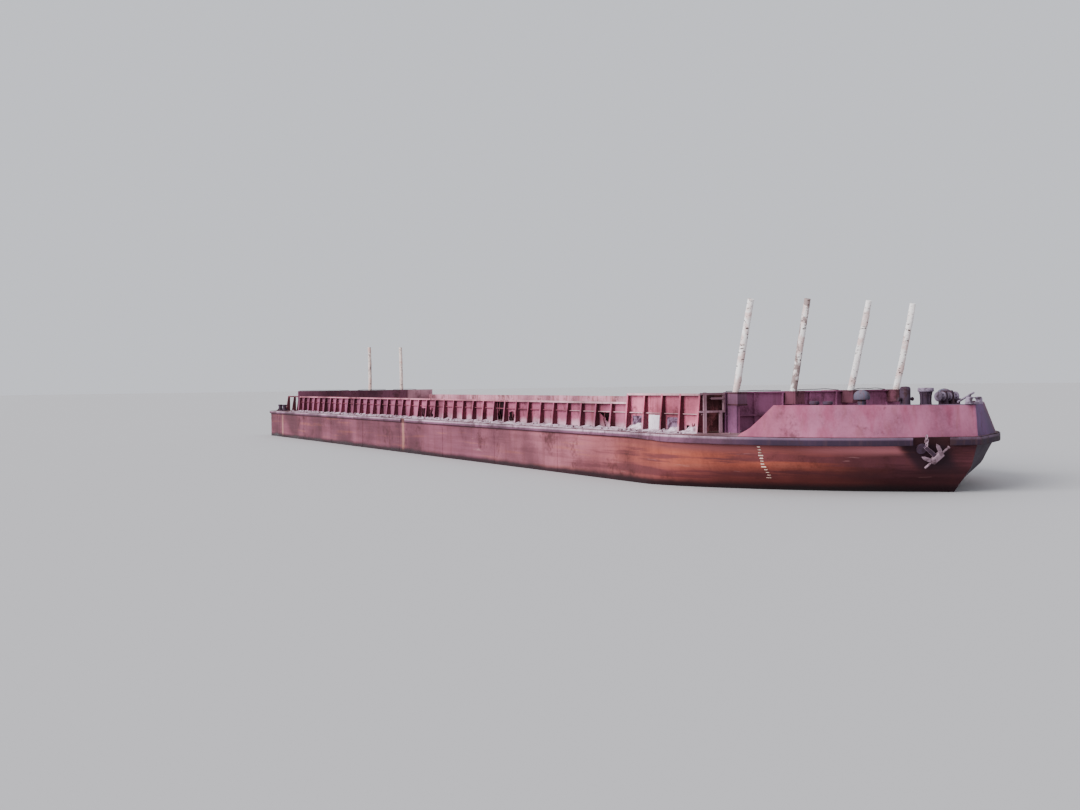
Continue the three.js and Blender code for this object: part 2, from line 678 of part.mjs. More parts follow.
buildHull();
buildRubRails();
buildWalls();
buildBulkheads();
buildOpenFrames();
buildStakes();
buildBulwark();
buildWindlass();
buildCapstan();
buildBollards();
buildHatch('fore_hatch', 23.0 * m, 0.6 * m);
buildHatch('aft_hatch', -26.3 * m, 0);
buildVent('ventilator_fore_starboard', 24.7 * m, -1.5 * m);
buildVent('ventilator_fore_port', 24.7 * m, 2.4 * m);
buildTowingPost();
buildAnchor();

export default barge;
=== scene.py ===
import random
from math import cos, exp, hypot, pi, radians, sin

import bmesh
import bpy
import numpy as np
from bpy.props import FloatProperty, FloatVectorProperty, IntProperty, PointerProperty
from mathutils import Matrix, Vector, noise


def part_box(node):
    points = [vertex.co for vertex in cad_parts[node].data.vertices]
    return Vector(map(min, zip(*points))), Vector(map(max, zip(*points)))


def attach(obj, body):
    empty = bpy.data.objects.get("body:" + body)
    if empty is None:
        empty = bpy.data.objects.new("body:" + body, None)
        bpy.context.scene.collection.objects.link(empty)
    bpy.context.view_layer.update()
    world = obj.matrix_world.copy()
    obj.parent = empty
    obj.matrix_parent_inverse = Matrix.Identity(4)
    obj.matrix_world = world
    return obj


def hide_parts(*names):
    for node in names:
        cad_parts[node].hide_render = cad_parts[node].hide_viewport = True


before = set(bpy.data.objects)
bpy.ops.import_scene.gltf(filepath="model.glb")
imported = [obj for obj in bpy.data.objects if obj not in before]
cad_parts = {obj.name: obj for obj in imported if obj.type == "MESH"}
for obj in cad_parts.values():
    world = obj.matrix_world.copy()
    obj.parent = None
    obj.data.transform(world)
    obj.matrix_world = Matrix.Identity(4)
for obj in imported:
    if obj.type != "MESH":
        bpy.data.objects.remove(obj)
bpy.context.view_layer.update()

bl_info = {
    "name": "River Cargo Barge Dressing",
    "version": (1, 0, 0),
    "blender": (4, 5, 0),
    "location": "View3D > Sidebar > Barge",
    "description": "Dresses a deck barge with weathered plating, timber stakes and deck gear",
    "category": "Object",
}

# One metre of the real barge in the frame, which is at half size
M = 0.5

# Hull levels: height, narrowing, set back of the nose, set of the stern, sharpness, roundness
LEVELS = (
    (0.0, 0.4, 4.0, 3.0, 1.6, 1.3),
    (0.12, 0.12, 2.7, 1.8, 1.5, 1.25),
    (0.3, 0.0, 1.6, 0.7, 1.4, 1.22),
    (0.47, 0.0, 0.95, 0.0, 1.4, 1.22),
    (1.3, 0.0, 0.3, 0.0, 1.7, 1.45),
    (2.25, 0.0, 0.0, 0.0, 1.95, 1.58),
)
NOSE = 28.05
STERN = -28.05
STEM = 0.25
FACET = 1 / 3
SIDE = 6.1
DECK = 2.25
ENTRY = 7.8
CORNER = 0.35
WATERLINE = 0.47
FRAMES = 0.55

# Rub rails: thickness, and heights of the light and the heavy bar
RAIL_THICK = 0.09
RAIL_LIGHT = 0.19
RAIL_HEAVY = 0.27

# Cargo box
BAY = 1.1
BAYS = 41
WALL_AFT = -24.4
WALL_FORE = WALL_AFT + BAY * BAYS
WALL_Y = 4.85
WALL_TOP = 1.05
RAISED_TOP = 1.38
BRACKET_FOOT = 0.28
BRACKET_TOP = 0.15
RAISED_FROM = 37

# Stage: reach of the floor, colour of the sky, and direction and width of the sun
FLOOR_REACH = 600
SKY_COLOUR = (0.86, 0.88, 0.95, 1)
SUN_FROM = (0.03, -0.88, 0.45)
SUN_DEGREES = 40

# Camera: its place in the frame, heading, pitch and roll in degrees, sensor width and far limit
CAMERA_PLACE = (25.36, -14.135, 2.02)
CAMERA_TURN = (150.482, 1.154, -0.628)
CAMERA_SENSOR = 36
CAMERA_FAR = 2000


# Sizes and colours that a user would change

COLOUR = {"subtype": "COLOR", "min": 0, "max": 1}
DEPTH = {"subtype": "DISTANCE", "min": 0, "max": 0.05}


class HullSettings(bpy.types.PropertyGroup):
    paint: FloatVectorProperty(
        name="Paint", description="Faded paint of the sides", default=(0.193, 0.063, 0.084), **COLOUR)
    rust: FloatVectorProperty(
        name="Rust", description="Orange rust of the bow", default=(0.158, 0.038, 0.033), **COLOUR)
    wet: FloatVectorProperty(
        name="Wet band", description="Dark plating just above the water",
        default=(0.012, 0.004, 0.006), **COLOUR)
    dent: FloatProperty(
        name="Dent depth", description="Depth of the dents between frames", default=0.009, **DEPTH)


class WallSettings(bpy.types.PropertyGroup):
    paint: FloatVectorProperty(
        name="Outer paint", description="Outer faces of the cargo walls",
        default=(0.285, 0.075, 0.127), **COLOUR)
    inside: FloatVectorProperty(
        name="Inner paint", description="Chalky inner faces of the cargo walls",
        default=(0.418, 0.166, 0.227), **COLOUR)
    bulge: FloatProperty(
        name="Panel bulge", description="How far panels bulge between brackets", default=0.012, **DEPTH)


class TimberSettings(bpy.types.PropertyGroup):
    bark: FloatVectorProperty(
        name="Bark", description="Left-over bark on the stakes", default=(0.36, 0.27, 0.26), **COLOUR)
    wood: FloatVectorProperty(
        name="Wood", description="Peeled pale wood of the stakes", default=(0.98, 0.94, 0.93), **COLOUR)


class GearSettings(bpy.types.PropertyGroup):
    iron: FloatVectorProperty(
        name="Iron", description="Weathered iron of the deck gear", default=(0.048, 0.029, 0.048), **COLOUR)
    rounds: IntProperty(
        name="Segments", description="Segments round turned gear", default=40, min=12, max=96)


class StageSettings(bpy.types.PropertyGroup):
    floor: FloatVectorProperty(
        name="Floor", description="Pale floor at the waterline", default=(0.5, 0.49, 0.5), **COLOUR)
    sun: FloatProperty(name="Sun", description="Strength of the soft key light", default=4.8, min=0)
    sky: FloatProperty(name="Sky", description="Strength of the even sky light", default=0.94, min=0)
    lens: FloatProperty(
        name="Lens", description="Focal length of the camera", subtype="DISTANCE_CAMERA",
        default=36.7, min=10)


# Small helpers for numbers and meshes

def settings():
    return bpy.context.scene.barge


def clamp(value):
    return min(max(value, 0), 1)


def wave(x, y, z, size, seed=0.0):
    """Smooth noise from -1 to 1 with features of a size, in real metres."""
    return noise.noise(Vector((x / size + seed, y / size - seed, z / size + 0.5 * seed)))


def turns(count, start=0.0):
    """Angles spread evenly round a circle."""
    return [2 * pi * (k + start) / count for k in range(count)]


def lattice(up, across, spot):
    """Rows of points, each given by its row and its place in the row."""
    return [[spot(j, k) for k in range(across + 1)] for j in range(up + 1)]


def mirrored(points):
    return [(x, -y, z) for x, y, z in points]


def reading(points, value, known=0, wanted=1):
    """One coordinate along a line of points, where another has a value."""
    return float(np.interp(value, [p[known] for p in points], [p[wanted] for p in points]))


def link(name, data, smooth=None):
    """A linked object, shaded smooth where faces meet at less than an angle in degrees."""
    if smooth is not None:
        data.shade_smooth()
        data.set_sharp_from_angle(angle=radians(smooth))
    obj = bpy.data.objects.new(name, data)
    bpy.context.scene.collection.objects.link(obj)
    return obj


def drop(obj):
    """Removes a helper object and its mesh."""
    mesh = obj.data
    bpy.data.objects.remove(obj)
    bpy.data.meshes.remove(mesh)


def settle(obj, nodes=(), body="barge"):
    """Puts a finished piece on its body and hides the nodes that it stands for."""
    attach(obj, body)
    if nodes:
        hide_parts(*nodes)


class Shape:
    """Collects vertices in real metres and faces, and becomes an object at the frame's scale."""

    def __init__(self):
        self.verts = []
        self.faces = []
        self.marks = []

    def points(self, points):
        start = len(self.verts)
        self.verts.extend(tuple(point) for point in points)
        return list(range(start, len(self.verts)))

    def face(self, indices, mark=0):
        self.faces.append(tuple(indices))
        self.marks.append(mark)

    def grid(self, rows, mark=0, flip=False, closed=False):
        """Quads over rows of points that all have the same number of points."""
        index = [self.points(row) for row in rows]
        count = len(index[0])
        for low, high in zip(index, index[1:]):
            for i in range(count if closed else count - 1):
                j = (i + 1) % count
                quad = (low[i], low[j], high[j], high[i])
                self.face(reversed(quad) if flip else quad, mark)
        return index

    def skin(self, rings, mark=0, top=0):
        """Quads over closed rings, and a face over each end."""
        index = self.grid(rings, mark, closed=True)
        self.face(reversed(index[0]), mark)
        self.face(index[-1], top or mark)

    def box(self, low, high):
        (x0, y0, z0), (x1, y1, z1) = low, high
        ring = [(x0, y0), (x1, y0), (x1, y1), (x0, y1)]
        self.prism([(x, y, z0) for x, y in ring], (0, 0, z1 - z0))

    def prism(self, outline, offset, mark=0):
        """A flat outline made thick by an offset; it is counterclockwise seen against the offset."""
        offset = Vector(offset)
        self.skin([outline, [Vector(point) + offset for point in outline]], mark)

    def turned(self, profile, centre, axis="Z", segments=None, mark=0):
        """A profile of radius and height turned round an axis through centre."""
        centre = Vector(centre)
        rows = []
        for radius, height in profile:
            row = []
            for angle in turns(segments or settings().gear.rounds):
                a, b = radius * cos(angle), radius * sin(angle)
                row.append(centre + Vector((a, b, height) if axis == "Z" else (b, height, a)))
            rows.append(row)
        self.skin(rows, mark)

    def sheet(self, rows, offset, kept=None):
        """A plate over rows of points, made thick by an offset, without the cells that are torn out."""
        offset = Vector(offset)
        across, up = len(rows[0]) - 1, len(rows) - 1
        outer = [self.points(row) for row in rows]
        inner = [self.points(Vector(point) + offset for point in row) for row in rows]

        def stays(i, j):
            return 0 <= i < across and 0 <= j < up and (kept is None or kept(i, j))

        for j in range(up):
            for i in range(across):
                if not stays(i, j):
                    continue
                ring = ((i, j), (i + 1, j), (i + 1, j + 1), (i, j + 1))
                beyond = ((i, j - 1), (i + 1, j), (i, j + 1), (i - 1, j))
                self.face([outer[b][a] for a, b in ring])
                self.face([inner[b][a] for a, b in reversed(ring)], 1)
                for k in range(4):
                    if not stays(*beyond[k]):
                        (a, b), (c, d) = ring[k], ring[(k + 1) % 4]
                        self.face((outer[b][a], inner[b][a], inner[d][c], outer[d][c]))

    def moved(self, matrix):
        self.verts = [tuple(matrix @ Vector(vert)) for vert in self.verts]

    def build(self, name, *looks, smooth=None, bevel=0.0, weld=True):
        """The object, with its materials in the order of its marks."""
        mesh = bpy.data.meshes.new(name)
        scaled = [tuple(value * M for value in vert) for vert in self.verts]
        mesh.from_pydata(scaled, [], self.faces)
        for look in looks:
            mesh.materials.append(LOOK[look])
        mesh.polygons.foreach_set("material_index", self.marks)
        work = bmesh.new()
        work.from_mesh(mesh)
        loose = [vert for vert in work.verts if not vert.link_faces]
        bmesh.ops.delete(work, geom=loose, context="VERTS")
        if weld:
            bmesh.ops.remove_doubles(work, verts=work.verts, dist=1e-5)
            bmesh.ops.dissolve_degenerate(work, edges=work.edges, dist=1e-6)
        if bevel:
            sharp = [e for e in work.edges if len(e.link_faces) == 2 and e.calc_face_angle() > 0.6]
            bmesh.ops.bevel(
                work, geom=sharp, offset=bevel * M, segments=2, affect="EDGES", clamp_overlap=True)
        bmesh.ops.recalc_face_normals(work, faces=work.faces)
        work.to_mesh(mesh)
        work.free()
        return link(name, mesh, smooth)

    def piece(self, name, slot, *looks, nodes=(), body="barge", **options):
        """Builds the object and settles it."""
        settle(self.build(name, *looks, **options), nodes, body)


# Outline of the hull, in real metres

def half_ring(level, grown=0.0, side_steps=430, bow_steps=36, stem=STEM):
    """Starboard half of one level's outline, from the middle of the transom to the stem."""
    height, narrower, back, fore, sharp, roundness = level
    nose = NOSE - STEM - back + grown
    stern = STERN + fore - grown
    half = SIDE + grown
    shrink = 1 - narrower / SIDE
    ring = [(stern, -(half - CORNER) * k / 10) for k in range(11)]
    for k in range(1, 4):
        turn = 0.5 * pi * k / 3
        ring.append((stern + CORNER * (1 - cos(turn)), -half + CORNER * (1 - sin(turn))))
    start = stern + CORNER
    end = nose - ENTRY
    ring += [(start + (end - start) * k / side_steps, -half) for k in range(1, side_steps + 1)]
    for k in range(1, bow_steps + 1):
        aft = ENTRY * (1 - (1 - FACET) * k / bow_steps) ** 2
        ring.append((nose - aft, -half * (1 - (1 - aft / ENTRY) ** sharp) ** (1 / roundness)))
    x, y = ring[-1]
    ring += [(x + (nose + stem - x) * k / 10, y * (1 - k / 10)) for k in range(1, 11)]
    return [(x, y * shrink, height) for x, y in ring]


def ring_at(height, grown=0.0, **steps):
    """Starboard half outline at any height, between the levels around it."""
    for low, high in zip(LEVELS, LEVELS[1:]):
        if height <= high[0]:
            share = (height - low[0]) / (high[0] - low[0])
            pairs = zip(half_ring(low, grown, **steps), half_ring(high, grown, **steps))
            return [tuple(a + (b - a) * share for a, b in zip(p, q)) for p, q in pairs]
    return half_ring(LEVELS[-1], grown, **steps)


def side_y(x, height):
    """Half breadth of the hull at a place and height."""
    return -reading(ring_at(height, side_steps=4)[10:], x)


# Node trees: a small writer, shader node groups and materials

class Net:
    """Writes nodes into one tree. Its textures are read at its vector."""

    def __init__(self, tree, vector=None):
        self.tree = tree
        self.vector = vector

    def set(self, socket, value):
        """Links a socket, or sets its value."""
        if isinstance(value, bpy.types.NodeSocket):
            self.tree.links.new(value, socket)
        else:
            socket.default_value = (*value[:3], 1) if socket.type == "RGBA" else value

    def put(self, kind, inputs=None, **props):
        """Adds a node, sets its properties, and links or sets its inputs."""
        node = self.tree.nodes.new(kind)
        for key, value in props.items():
            setattr(node, key, value)
        for key, value in (inputs or {}).items():
            self.set(node.inputs[key], value)
        return node

    def out(self, kind, inputs=None, **props):
        """Adds a node and returns its first output."""
        return self.put(kind, inputs, **props).outputs[0]

    def math(self, operation, a, b=0.0, c=0.0, clamp=False):
        return self.out("ShaderNodeMath", {0: a, 1: b, 2: c}, operation=operation, use_clamp=clamp)

    def minus(self, a, b):
        return self.math("SUBTRACT", a, b)

    def times(self, a, b, clamp=False):
        return self.math("MULTIPLY", a, b, clamp=clamp)

    def times_add(self, a, b, c):
        return self.math("MULTIPLY_ADD", a, b, c)

    def ramp(self, value, low, high, out_low=0.0, out_high=1.0):
        """Smooth change of a value between two bounds."""
        bounds = {"Value": value, "From Min": low, "From Max": high, "To Min": out_low, "To Max": out_high}
        return self.out("ShaderNodeMapRange", bounds, interpolation_type="SMOOTHSTEP")

    def mix(self, factor, a, b, blend="MIX"):
        node = self.put(
            "ShaderNodeMix", {0: factor, 6: a, 7: b}, data_type="RGBA", blend_type=blend, clamp_factor=True)
        return node.outputs[2]

    def axis(self, number):
        return self.put("ShaderNodeSeparateXYZ", {0: self.vector}).outputs[number]

    def cloud(self, scale, detail=4.0, rough=0.55, stretch=None):
        """Noise value, with an optional stretch of its three axes."""
        vector = self.vector
        if stretch:
            vector = self.out("ShaderNodeMapping", {"Vector": vector, "Scale": stretch})
        inputs = {"Vector": vector, "Scale": scale, "Detail": detail, "Roughness": rough}
        return self.out("ShaderNodeTexNoise", inputs)

    def along(self, start, end, axis=0, ragged=0.6, scale=1.4):
        """Share from 0 to 1 between two places along an axis, with an uneven edge."""
        rough = self.minus(self.cloud(scale, 4.0), 0.5)
        return self.ramp(self.times_add(rough, ragged, self.axis(axis)), start, end)

    def port_facet_shade(self):
        """Mask of the narrow facet to port of the stem, where dark bluish shade is painted."""
        return self.times(self.along(-0.02, 0.04, axis=1, ragged=0.05), self.along(13.2, 13.45, ragged=0.1))

    def grouped(self, name, **inputs):
        """Outputs of a shader group read at the vector."""
        node = self.tree.nodes.new("ShaderNodeGroup")
        node.node_tree = bpy.data.node_groups[name]
        for key, value in {"Vector": self.vector, **inputs}.items():
            self.set(node.inputs[key], value)
        return node.outputs


def node_group(name, kind, inputs, outputs):
    """A node group's writer and sockets, from rows of name, kind and default, and of name and kind."""
    tree = bpy.data.node_groups.new(name, kind)
    for label, socket, default in inputs:
        made = tree.interface.new_socket(label, in_out="INPUT", socket_type="NodeSocket" + socket)
        if default is not None:
            made.default_value = default
    for label, socket in outputs:
        tree.interface.new_socket(label, in_out="OUTPUT", socket_type="NodeSocket" + socket)
    given = tree.nodes.new("NodeGroupInput").outputs
    out = tree.nodes.new("NodeGroupOutput").inputs
    vector = given["Vector"] if kind == "ShaderNodeTree" else None
    return Net(tree, vector), given, out


def make_rust_group():
    """Patches of rust with darker rims, and streaks that run down from above."""
    net, given, out = node_group(
        "rust_patches", "ShaderNodeTree",
        [("Vector", "Vector", None), ("Scale", "Float", 1.0), ("Amount", "Float", 0.5),
         ("Streaks", "Float", 0.5)],
        [("Rust", "Float"), ("Streak", "Float"), ("Height", "Float")])
    scale = net.out("ShaderNodeCombineXYZ", dict.fromkeys(range(3), given["Scale"]))
    net.vector = net.out("ShaderNodeVectorMath", {0: given["Vector"], 1: scale}, operation="MULTIPLY")
    both = net.times_add(net.cloud(9.0, 5.0, 0.6), 0.35, net.cloud(1.1, 6.0, 0.62))
    edge = net.minus(1.02, net.times(given["Amount"], 0.55))
    rust = net.ramp(both, net.minus(edge, 0.1), net.math("ADD", edge, 0.1))
    runs = net.cloud(3.2, 4.0, 0.6, (1.6, 1.6, 0.09))
    streak = net.times(net.ramp(runs, 0.5, 0.72), given["Streaks"], clamp=True)
    relief = net.times_add(rust, -0.5, net.times(net.cloud(42.0, 3.0, 0.6), 0.5))
    for name, value in (("Rust", rust), ("Streak", streak), ("Height", relief)):
        net.set(out[name], value)


def make_band_group():
    """Mask of a level band, ragged along its edge."""
    net, given, out = node_group(
        "level_band", "ShaderNodeTree",
        [("Vector", "Vector", None), ("Low", "Float", 0.0), ("High", "Float", 1.0), ("Ragged", "Float", 0.1)],
        [("Mask", "Float")])
    rough = net.minus(net.cloud(1.6, 5.0, 0.6), 0.5)
    lifted = net.times_add(rough, given["Ragged"], net.axis(2))
    net.set(out["Mask"], net.ramp(lifted, given["Low"], given["High"], 1.0, 0.0))


def make_grime_group():
    """Colour of a paint after fading, dirt and fine speckle."""
    net, given, out = node_group(
        "grime", "ShaderNodeTree",
        [("Vector", "Vector", None), ("Color", "Color", (0.5, 0.5, 0.5, 1)),
         ("Dirt", "Color", (0.03, 0.02, 0.02, 1)), ("Amount", "Float", 0.5)],
        [("Color", "Color"), ("Roughness", "Float")])
    speck = net.times(net.cloud(26.0, 4.0, 0.65), 0.14)
    tone = net.times_add(net.cloud(0.8, 4.0, 0.5), 0.86, speck)
    faded = net.mix(net.ramp(tone, 0.35, 0.7), given["Color"], (1, 1, 1), "SOFT_LIGHT")
    dirt = net.times(net.ramp(tone, 0.55, 0.3), given["Amount"])
    net.set(out["Color"], net.mix(dirt, faded, given["Dirt"]))
    net.set(out["Roughness"], net.ramp(tone, 0.3, 0.7, 0.62, 0.9))


class Paint(Net):
    """A new material with its Principled shader, read at its object coordinates."""

    def __init__(self, name):
        self.made = bpy.data.materials.new(name)
        self.made.use_nodes = True
        super().__init__(self.made.node_tree)
        self.tree.nodes.clear()
        self.shader = self.put("ShaderNodeBsdfPrincipled", {"Specular IOR Level": 0.15})
        self.put("ShaderNodeOutputMaterial", {0: self.shader.outputs[0]})
        self.vector = self.put("ShaderNodeTexCoord").outputs["Object"]

    def weathered(self, paint, rust, dirt, grime, scale, amount, streaks, dark=0.4, rusty=0.65):
        """Colour after grime, rust patches and runs, with the roughness and the patches' height."""
        base = self.grouped("grime", Color=paint, Dirt=dirt, Amount=grime)
        worn = self.grouped("rust_patches", Scale=scale, Amount=amount, Streaks=streaks)
        color = self.mix(worn["Streak"], base["Color"], rust)
        color = self.mix(self.times(worn["Rust"], rusty), color, tuple(value * dark for value in rust))
        return color, base["Roughness"], worn["Height"]

    def lay(self, color, roughness, height, depth=0.004, strength=0.5):
        """Connects what the shader needs and returns the material."""
        bumped = self.out("ShaderNodeBump", {"Height": height, "Strength": strength, "Distance": depth})
        for name, value in (("Base Color", color), ("Roughness", roughness), ("Normal", bumped)):
            self.set(self.shader.inputs[name], value)
        return self.made


def painted(name, paint, rust, amount=0.5, streaks=0.6, scale=1.0, grime=0.5, metallic=0.0):
    """Weathered paint on steel: fading and dirt, rust patches, and rust that runs down."""
    net = Paint(name)
    net.shader.inputs["Metallic"].default_value = metallic
    return net.lay(*net.weathered(
        paint, rust, (0.03, 0.014, 0.016), grime, scale, amount, streaks, dark=0.35, rusty=0.75))


def two_tone(name, start, end, axis, ragged, first, second, rust, dirt, scale, streaks):
    """Weathered paint that changes once between two places along an axis."""
    net = Paint(name)
    paint = net.mix(net.along(start, end, axis=axis, ragged=ragged), first, second)
    return net.lay(*net.weathered(paint, rust, dirt, 0.5, scale, 0.4, streaks))


def make_rail_paint():
    """Pale worn steel aft, dark blue-grey round the bow, with a painted highlight along the top and painted
    shade below it.
    """
    net = Paint("rail_paint")
    fore = net.along(10.4, 12.0, ragged=1.2)
    paint = net.mix(fore, (0.111, 0.046, 0.077), (0.02, 0.011, 0.021))
    # Painted highlight: the top of the bar is lighter than its lower part, which carries painted shade
    lit_upper = net.mix(fore, (0.34, 0.214, 0.283), (0.085, 0.052, 0.082))
    paint = net.mix(net.ramp(net.axis(2), 1.07, 1.105), paint, lit_upper)
    return net.lay(*net.weathered(paint, (0.11, 0.05, 0.055), (0.038, 0.019, 0.027), 0.7, 3.0, 0.45, 0.25))


def make_wall_paint():
    """Faded red of the cargo walls, pinker in the raised bays."""
    net = Paint("wall_paint")
    paint = net.mix(net.along(-6.0, 2.0, ragged=2.0), (0.2, 0.062, 0.11), settings().walls.paint)
    paint = net.mix(net.along(8.0, 8.3, ragged=0.1), paint, (0.455, 0.107, 0.17))
    splash = net.times(net.along(1.31, 1.16, axis=2, ragged=0.22, scale=5.0),
                       net.along(-3.0, 2.0, ragged=2.0))
    paint = net.mix(net.times(splash, 0.55), paint, (0.5, 0.33, 0.4))
    return net.lay(*net.weathered(paint, (0.146, 0.038, 0.035), (0.023, 0.011, 0.012), 0.5, 2.2, 0.4, 0.5))


def make_bulwark_paint():
    """Mauve paint with upright stains, and painted dark bluish shade on the port side of the stem."""
    net = Paint("bulwark_paint")
    paint = net.mix(net.along(10.8, 12.8, ragged=0.8), (0.24, 0.058, 0.094), (0.205, 0.066, 0.112))
    stains = net.cloud(4.0, 4.0, 0.6, (1.0, 1.0, 0.12))
    paint = net.mix(net.ramp(stains, 0.42, 0.66), paint, (0.169, 0.042, 0.076))
    # Painted shade: the facet to port of the stem is darkened bluish
    paint = net.mix(net.port_facet_shade(), paint, (0.081, 0.042, 0.103))
    return net.lay(*net.weathered(paint, (0.16, 0.046, 0.04), (0.038, 0.015, 0.019), 0.5, 1.5, 0.4, 0.3))


def make_hull_paint():
    """Pinkish faded paint aft, streaked red-brown rust at the bow, and a dark band at the water."""
    hull = settings().hull
    net = Paint("hull_paint")
    height = net.axis(2)
    faded = net.mix(net.along(2.5, 5.5, ragged=2.0), (0.12, 0.039, 0.057), hull.paint)
    bow = net.along(5.5, 10.5, ragged=3.0, scale=0.5)
    paint = net.mix(bow, faded, hull.rust)
    # An orange band at the bow painted as the glow of the low sun, and painted shade over the stem
    near = net.ramp(net.math("ABSOLUTE", net.minus(height, 0.76)), 0.3, 0.05)
    glow = net.times(near, net.along(8.0, 10.5, ragged=1.0))
    paint = net.mix(net.times(glow, 0.6), paint, (0.26, 0.056, 0.031))
    # Painted shade: the plating towards the stem is darkened almost to black
    paint = net.mix(net.times(net.along(11.8, 13.4, ragged=0.8), 0.92), paint, (0.022, 0.007, 0.012))
    # Streaks along the strakes, two washed seams and scratches
    strakes = net.cloud(2.6, 5.0, 0.62, (0.14, 0.14, 2.8))
    dark = net.times(net.ramp(strakes, 0.48, 0.6), net.times_add(bow, 0.55, 0.25))
    paint = net.mix(dark, paint, (0.065, 0.018, 0.024))
    paint = net.mix(net.ramp(strakes, 0.45, 0.34, 0.0, 0.35), paint, (0.25, 0.075, 0.055))
    for x, color in ((-1.53, (0.36, 0.16, 0.12)), (-12.45, (0.3, 0.14, 0.11))):
        wash = net.times(net.along(x - 0.11, x - 0.05, ragged=0.06, scale=4.0),
                         net.along(x + 0.11, x + 0.05, ragged=0.06, scale=4.0))
        paint = net.mix(net.times(wash, 0.55), paint, color)
    scratches = net.cloud(5.0, 4.0, 0.6, (0.3, 0.3, 3.5))
    paint = net.mix(net.ramp(scratches, 0.66, 0.72, 0.0, 0.35), paint, (0.28, 0.13, 0.13))
    color, roughness, relief = net.weathered(
        paint, (0.1, 0.028, 0.023), (0.05, 0.016, 0.02), 0.42, 1.3, 0.36, 0.25)
    # Plating low at the bow painted darker as painted shade, and the strip under the rail painted lighter as
    # painted light
    low = net.times(net.ramp(height, 0.7, 0.32), net.along(8.5, 11.5, ragged=1.0))
    low_bow_shade = net.mix(net.along(12.4, 13.2, ragged=0.4), (0.075, 0.014, 0.014), (0.03, 0.006, 0.008))
    color = net.mix(net.times(low, 0.88), color, low_bow_shade)
    # Painted light: the strip under the rail is lifted out of the painted stem shade
    lit_upper = net.times(net.ramp(height, 0.8, 0.94, 0.0, 0.8), net.along(8.6, 10.8, ragged=0.8))
    lit_upper = net.times(lit_upper, net.along(13.46, 13.38, ragged=0.08))
    strip = net.mix(net.along(12.2, 13.3, ragged=0.4), (0.17, 0.052, 0.056), (0.44, 0.145, 0.165))
    color = net.mix(lit_upper, color, strip)
    # Grime and painted shade round the anchor, the wet band and the painted shade under the rail
    # Stains and painted shade of the recess round the anchor
    run = net.times(net.along(13.4, 13.48, ragged=0.08), net.along(13.8, 13.7, ragged=0.08))
    run = net.times(run, net.ramp(height, 0.5, 0.72))
    color = net.mix(net.times(run, 0.85), color, (0.02, 0.009, 0.015))
    wet = net.grouped("level_band", Low=0.28, High=0.40, Ragged=0.08)["Mask"]
    color = net.mix(net.times(wet, 0.95), color, hull.wet)
    color = net.mix(net.ramp(height, 0.99, 1.02, 0.0, 0.7), color, (0.035, 0.011, 0.013))
    # Painted shade on the facet to port of the stem
    color = net.mix(net.port_facet_shade(), color, (0.046, 0.032, 0.046))
    return net.lay(color, net.times_add(wet, -0.4, roughness), relief, 0.006)


def make_timber(name, barked, shade=1.0):
    """Peeled birch: pale wood with dark knots and strips of bark left on."""
    timber = settings().timber
    wood = tuple(v * s for v, s in zip(timber.wood, (shade, shade * shade, shade ** 2.5)))
    net = Paint(name)
    patches = net.cloud(6.0, 5.0, 0.65, (1.0, 1.0, 0.55))
    grain = net.cloud(30.0, 4.0, 0.6, (1.0, 1.0, 0.08))
    color = net.mix(net.ramp(grain, 0.35, 0.65), wood, tuple(v * 0.9 for v in wood))
    color = net.mix(net.ramp(net.cloud(3.4, 3.0, 0.5), 0.48, 0.62, 0.0, 0.6), color, (0.6, 0.34, 0.3))
    color = net.mix(net.ramp(patches, barked, barked + 0.06), color, timber.bark)
    marks = net.cloud(12.0, 3.0, 0.6, (1.0, 1.0, 2.4))
    color = net.mix(net.ramp(marks, 0.58, 0.65), color, (0.09, 0.06, 0.055))
    return net.lay(color, net.ramp(patches, 0.4, 0.6, 0.7, 0.95), net.math("ADD", patches, grain))


def make_debris(name, pale, dark, scale):
    """Pale chips, sand and grit in mixed greys and browns."""
    net = Paint(name)
    tone = net.cloud(scale, 4.0, 0.7)
    color = net.mix(net.ramp(tone, 0.42, 0.62), pale, dark)
    color = net.mix(net.ramp(net.cloud(scale * 0.12, 3.0, 0.6), 0.5, 0.66, 0.0, 0.6), color, dark)
    return net.lay(color, net.ramp(tone, 0.3, 0.7, 0.8, 0.97), net.cloud(60.0), 0.003, 0.4)


LOOK = {}


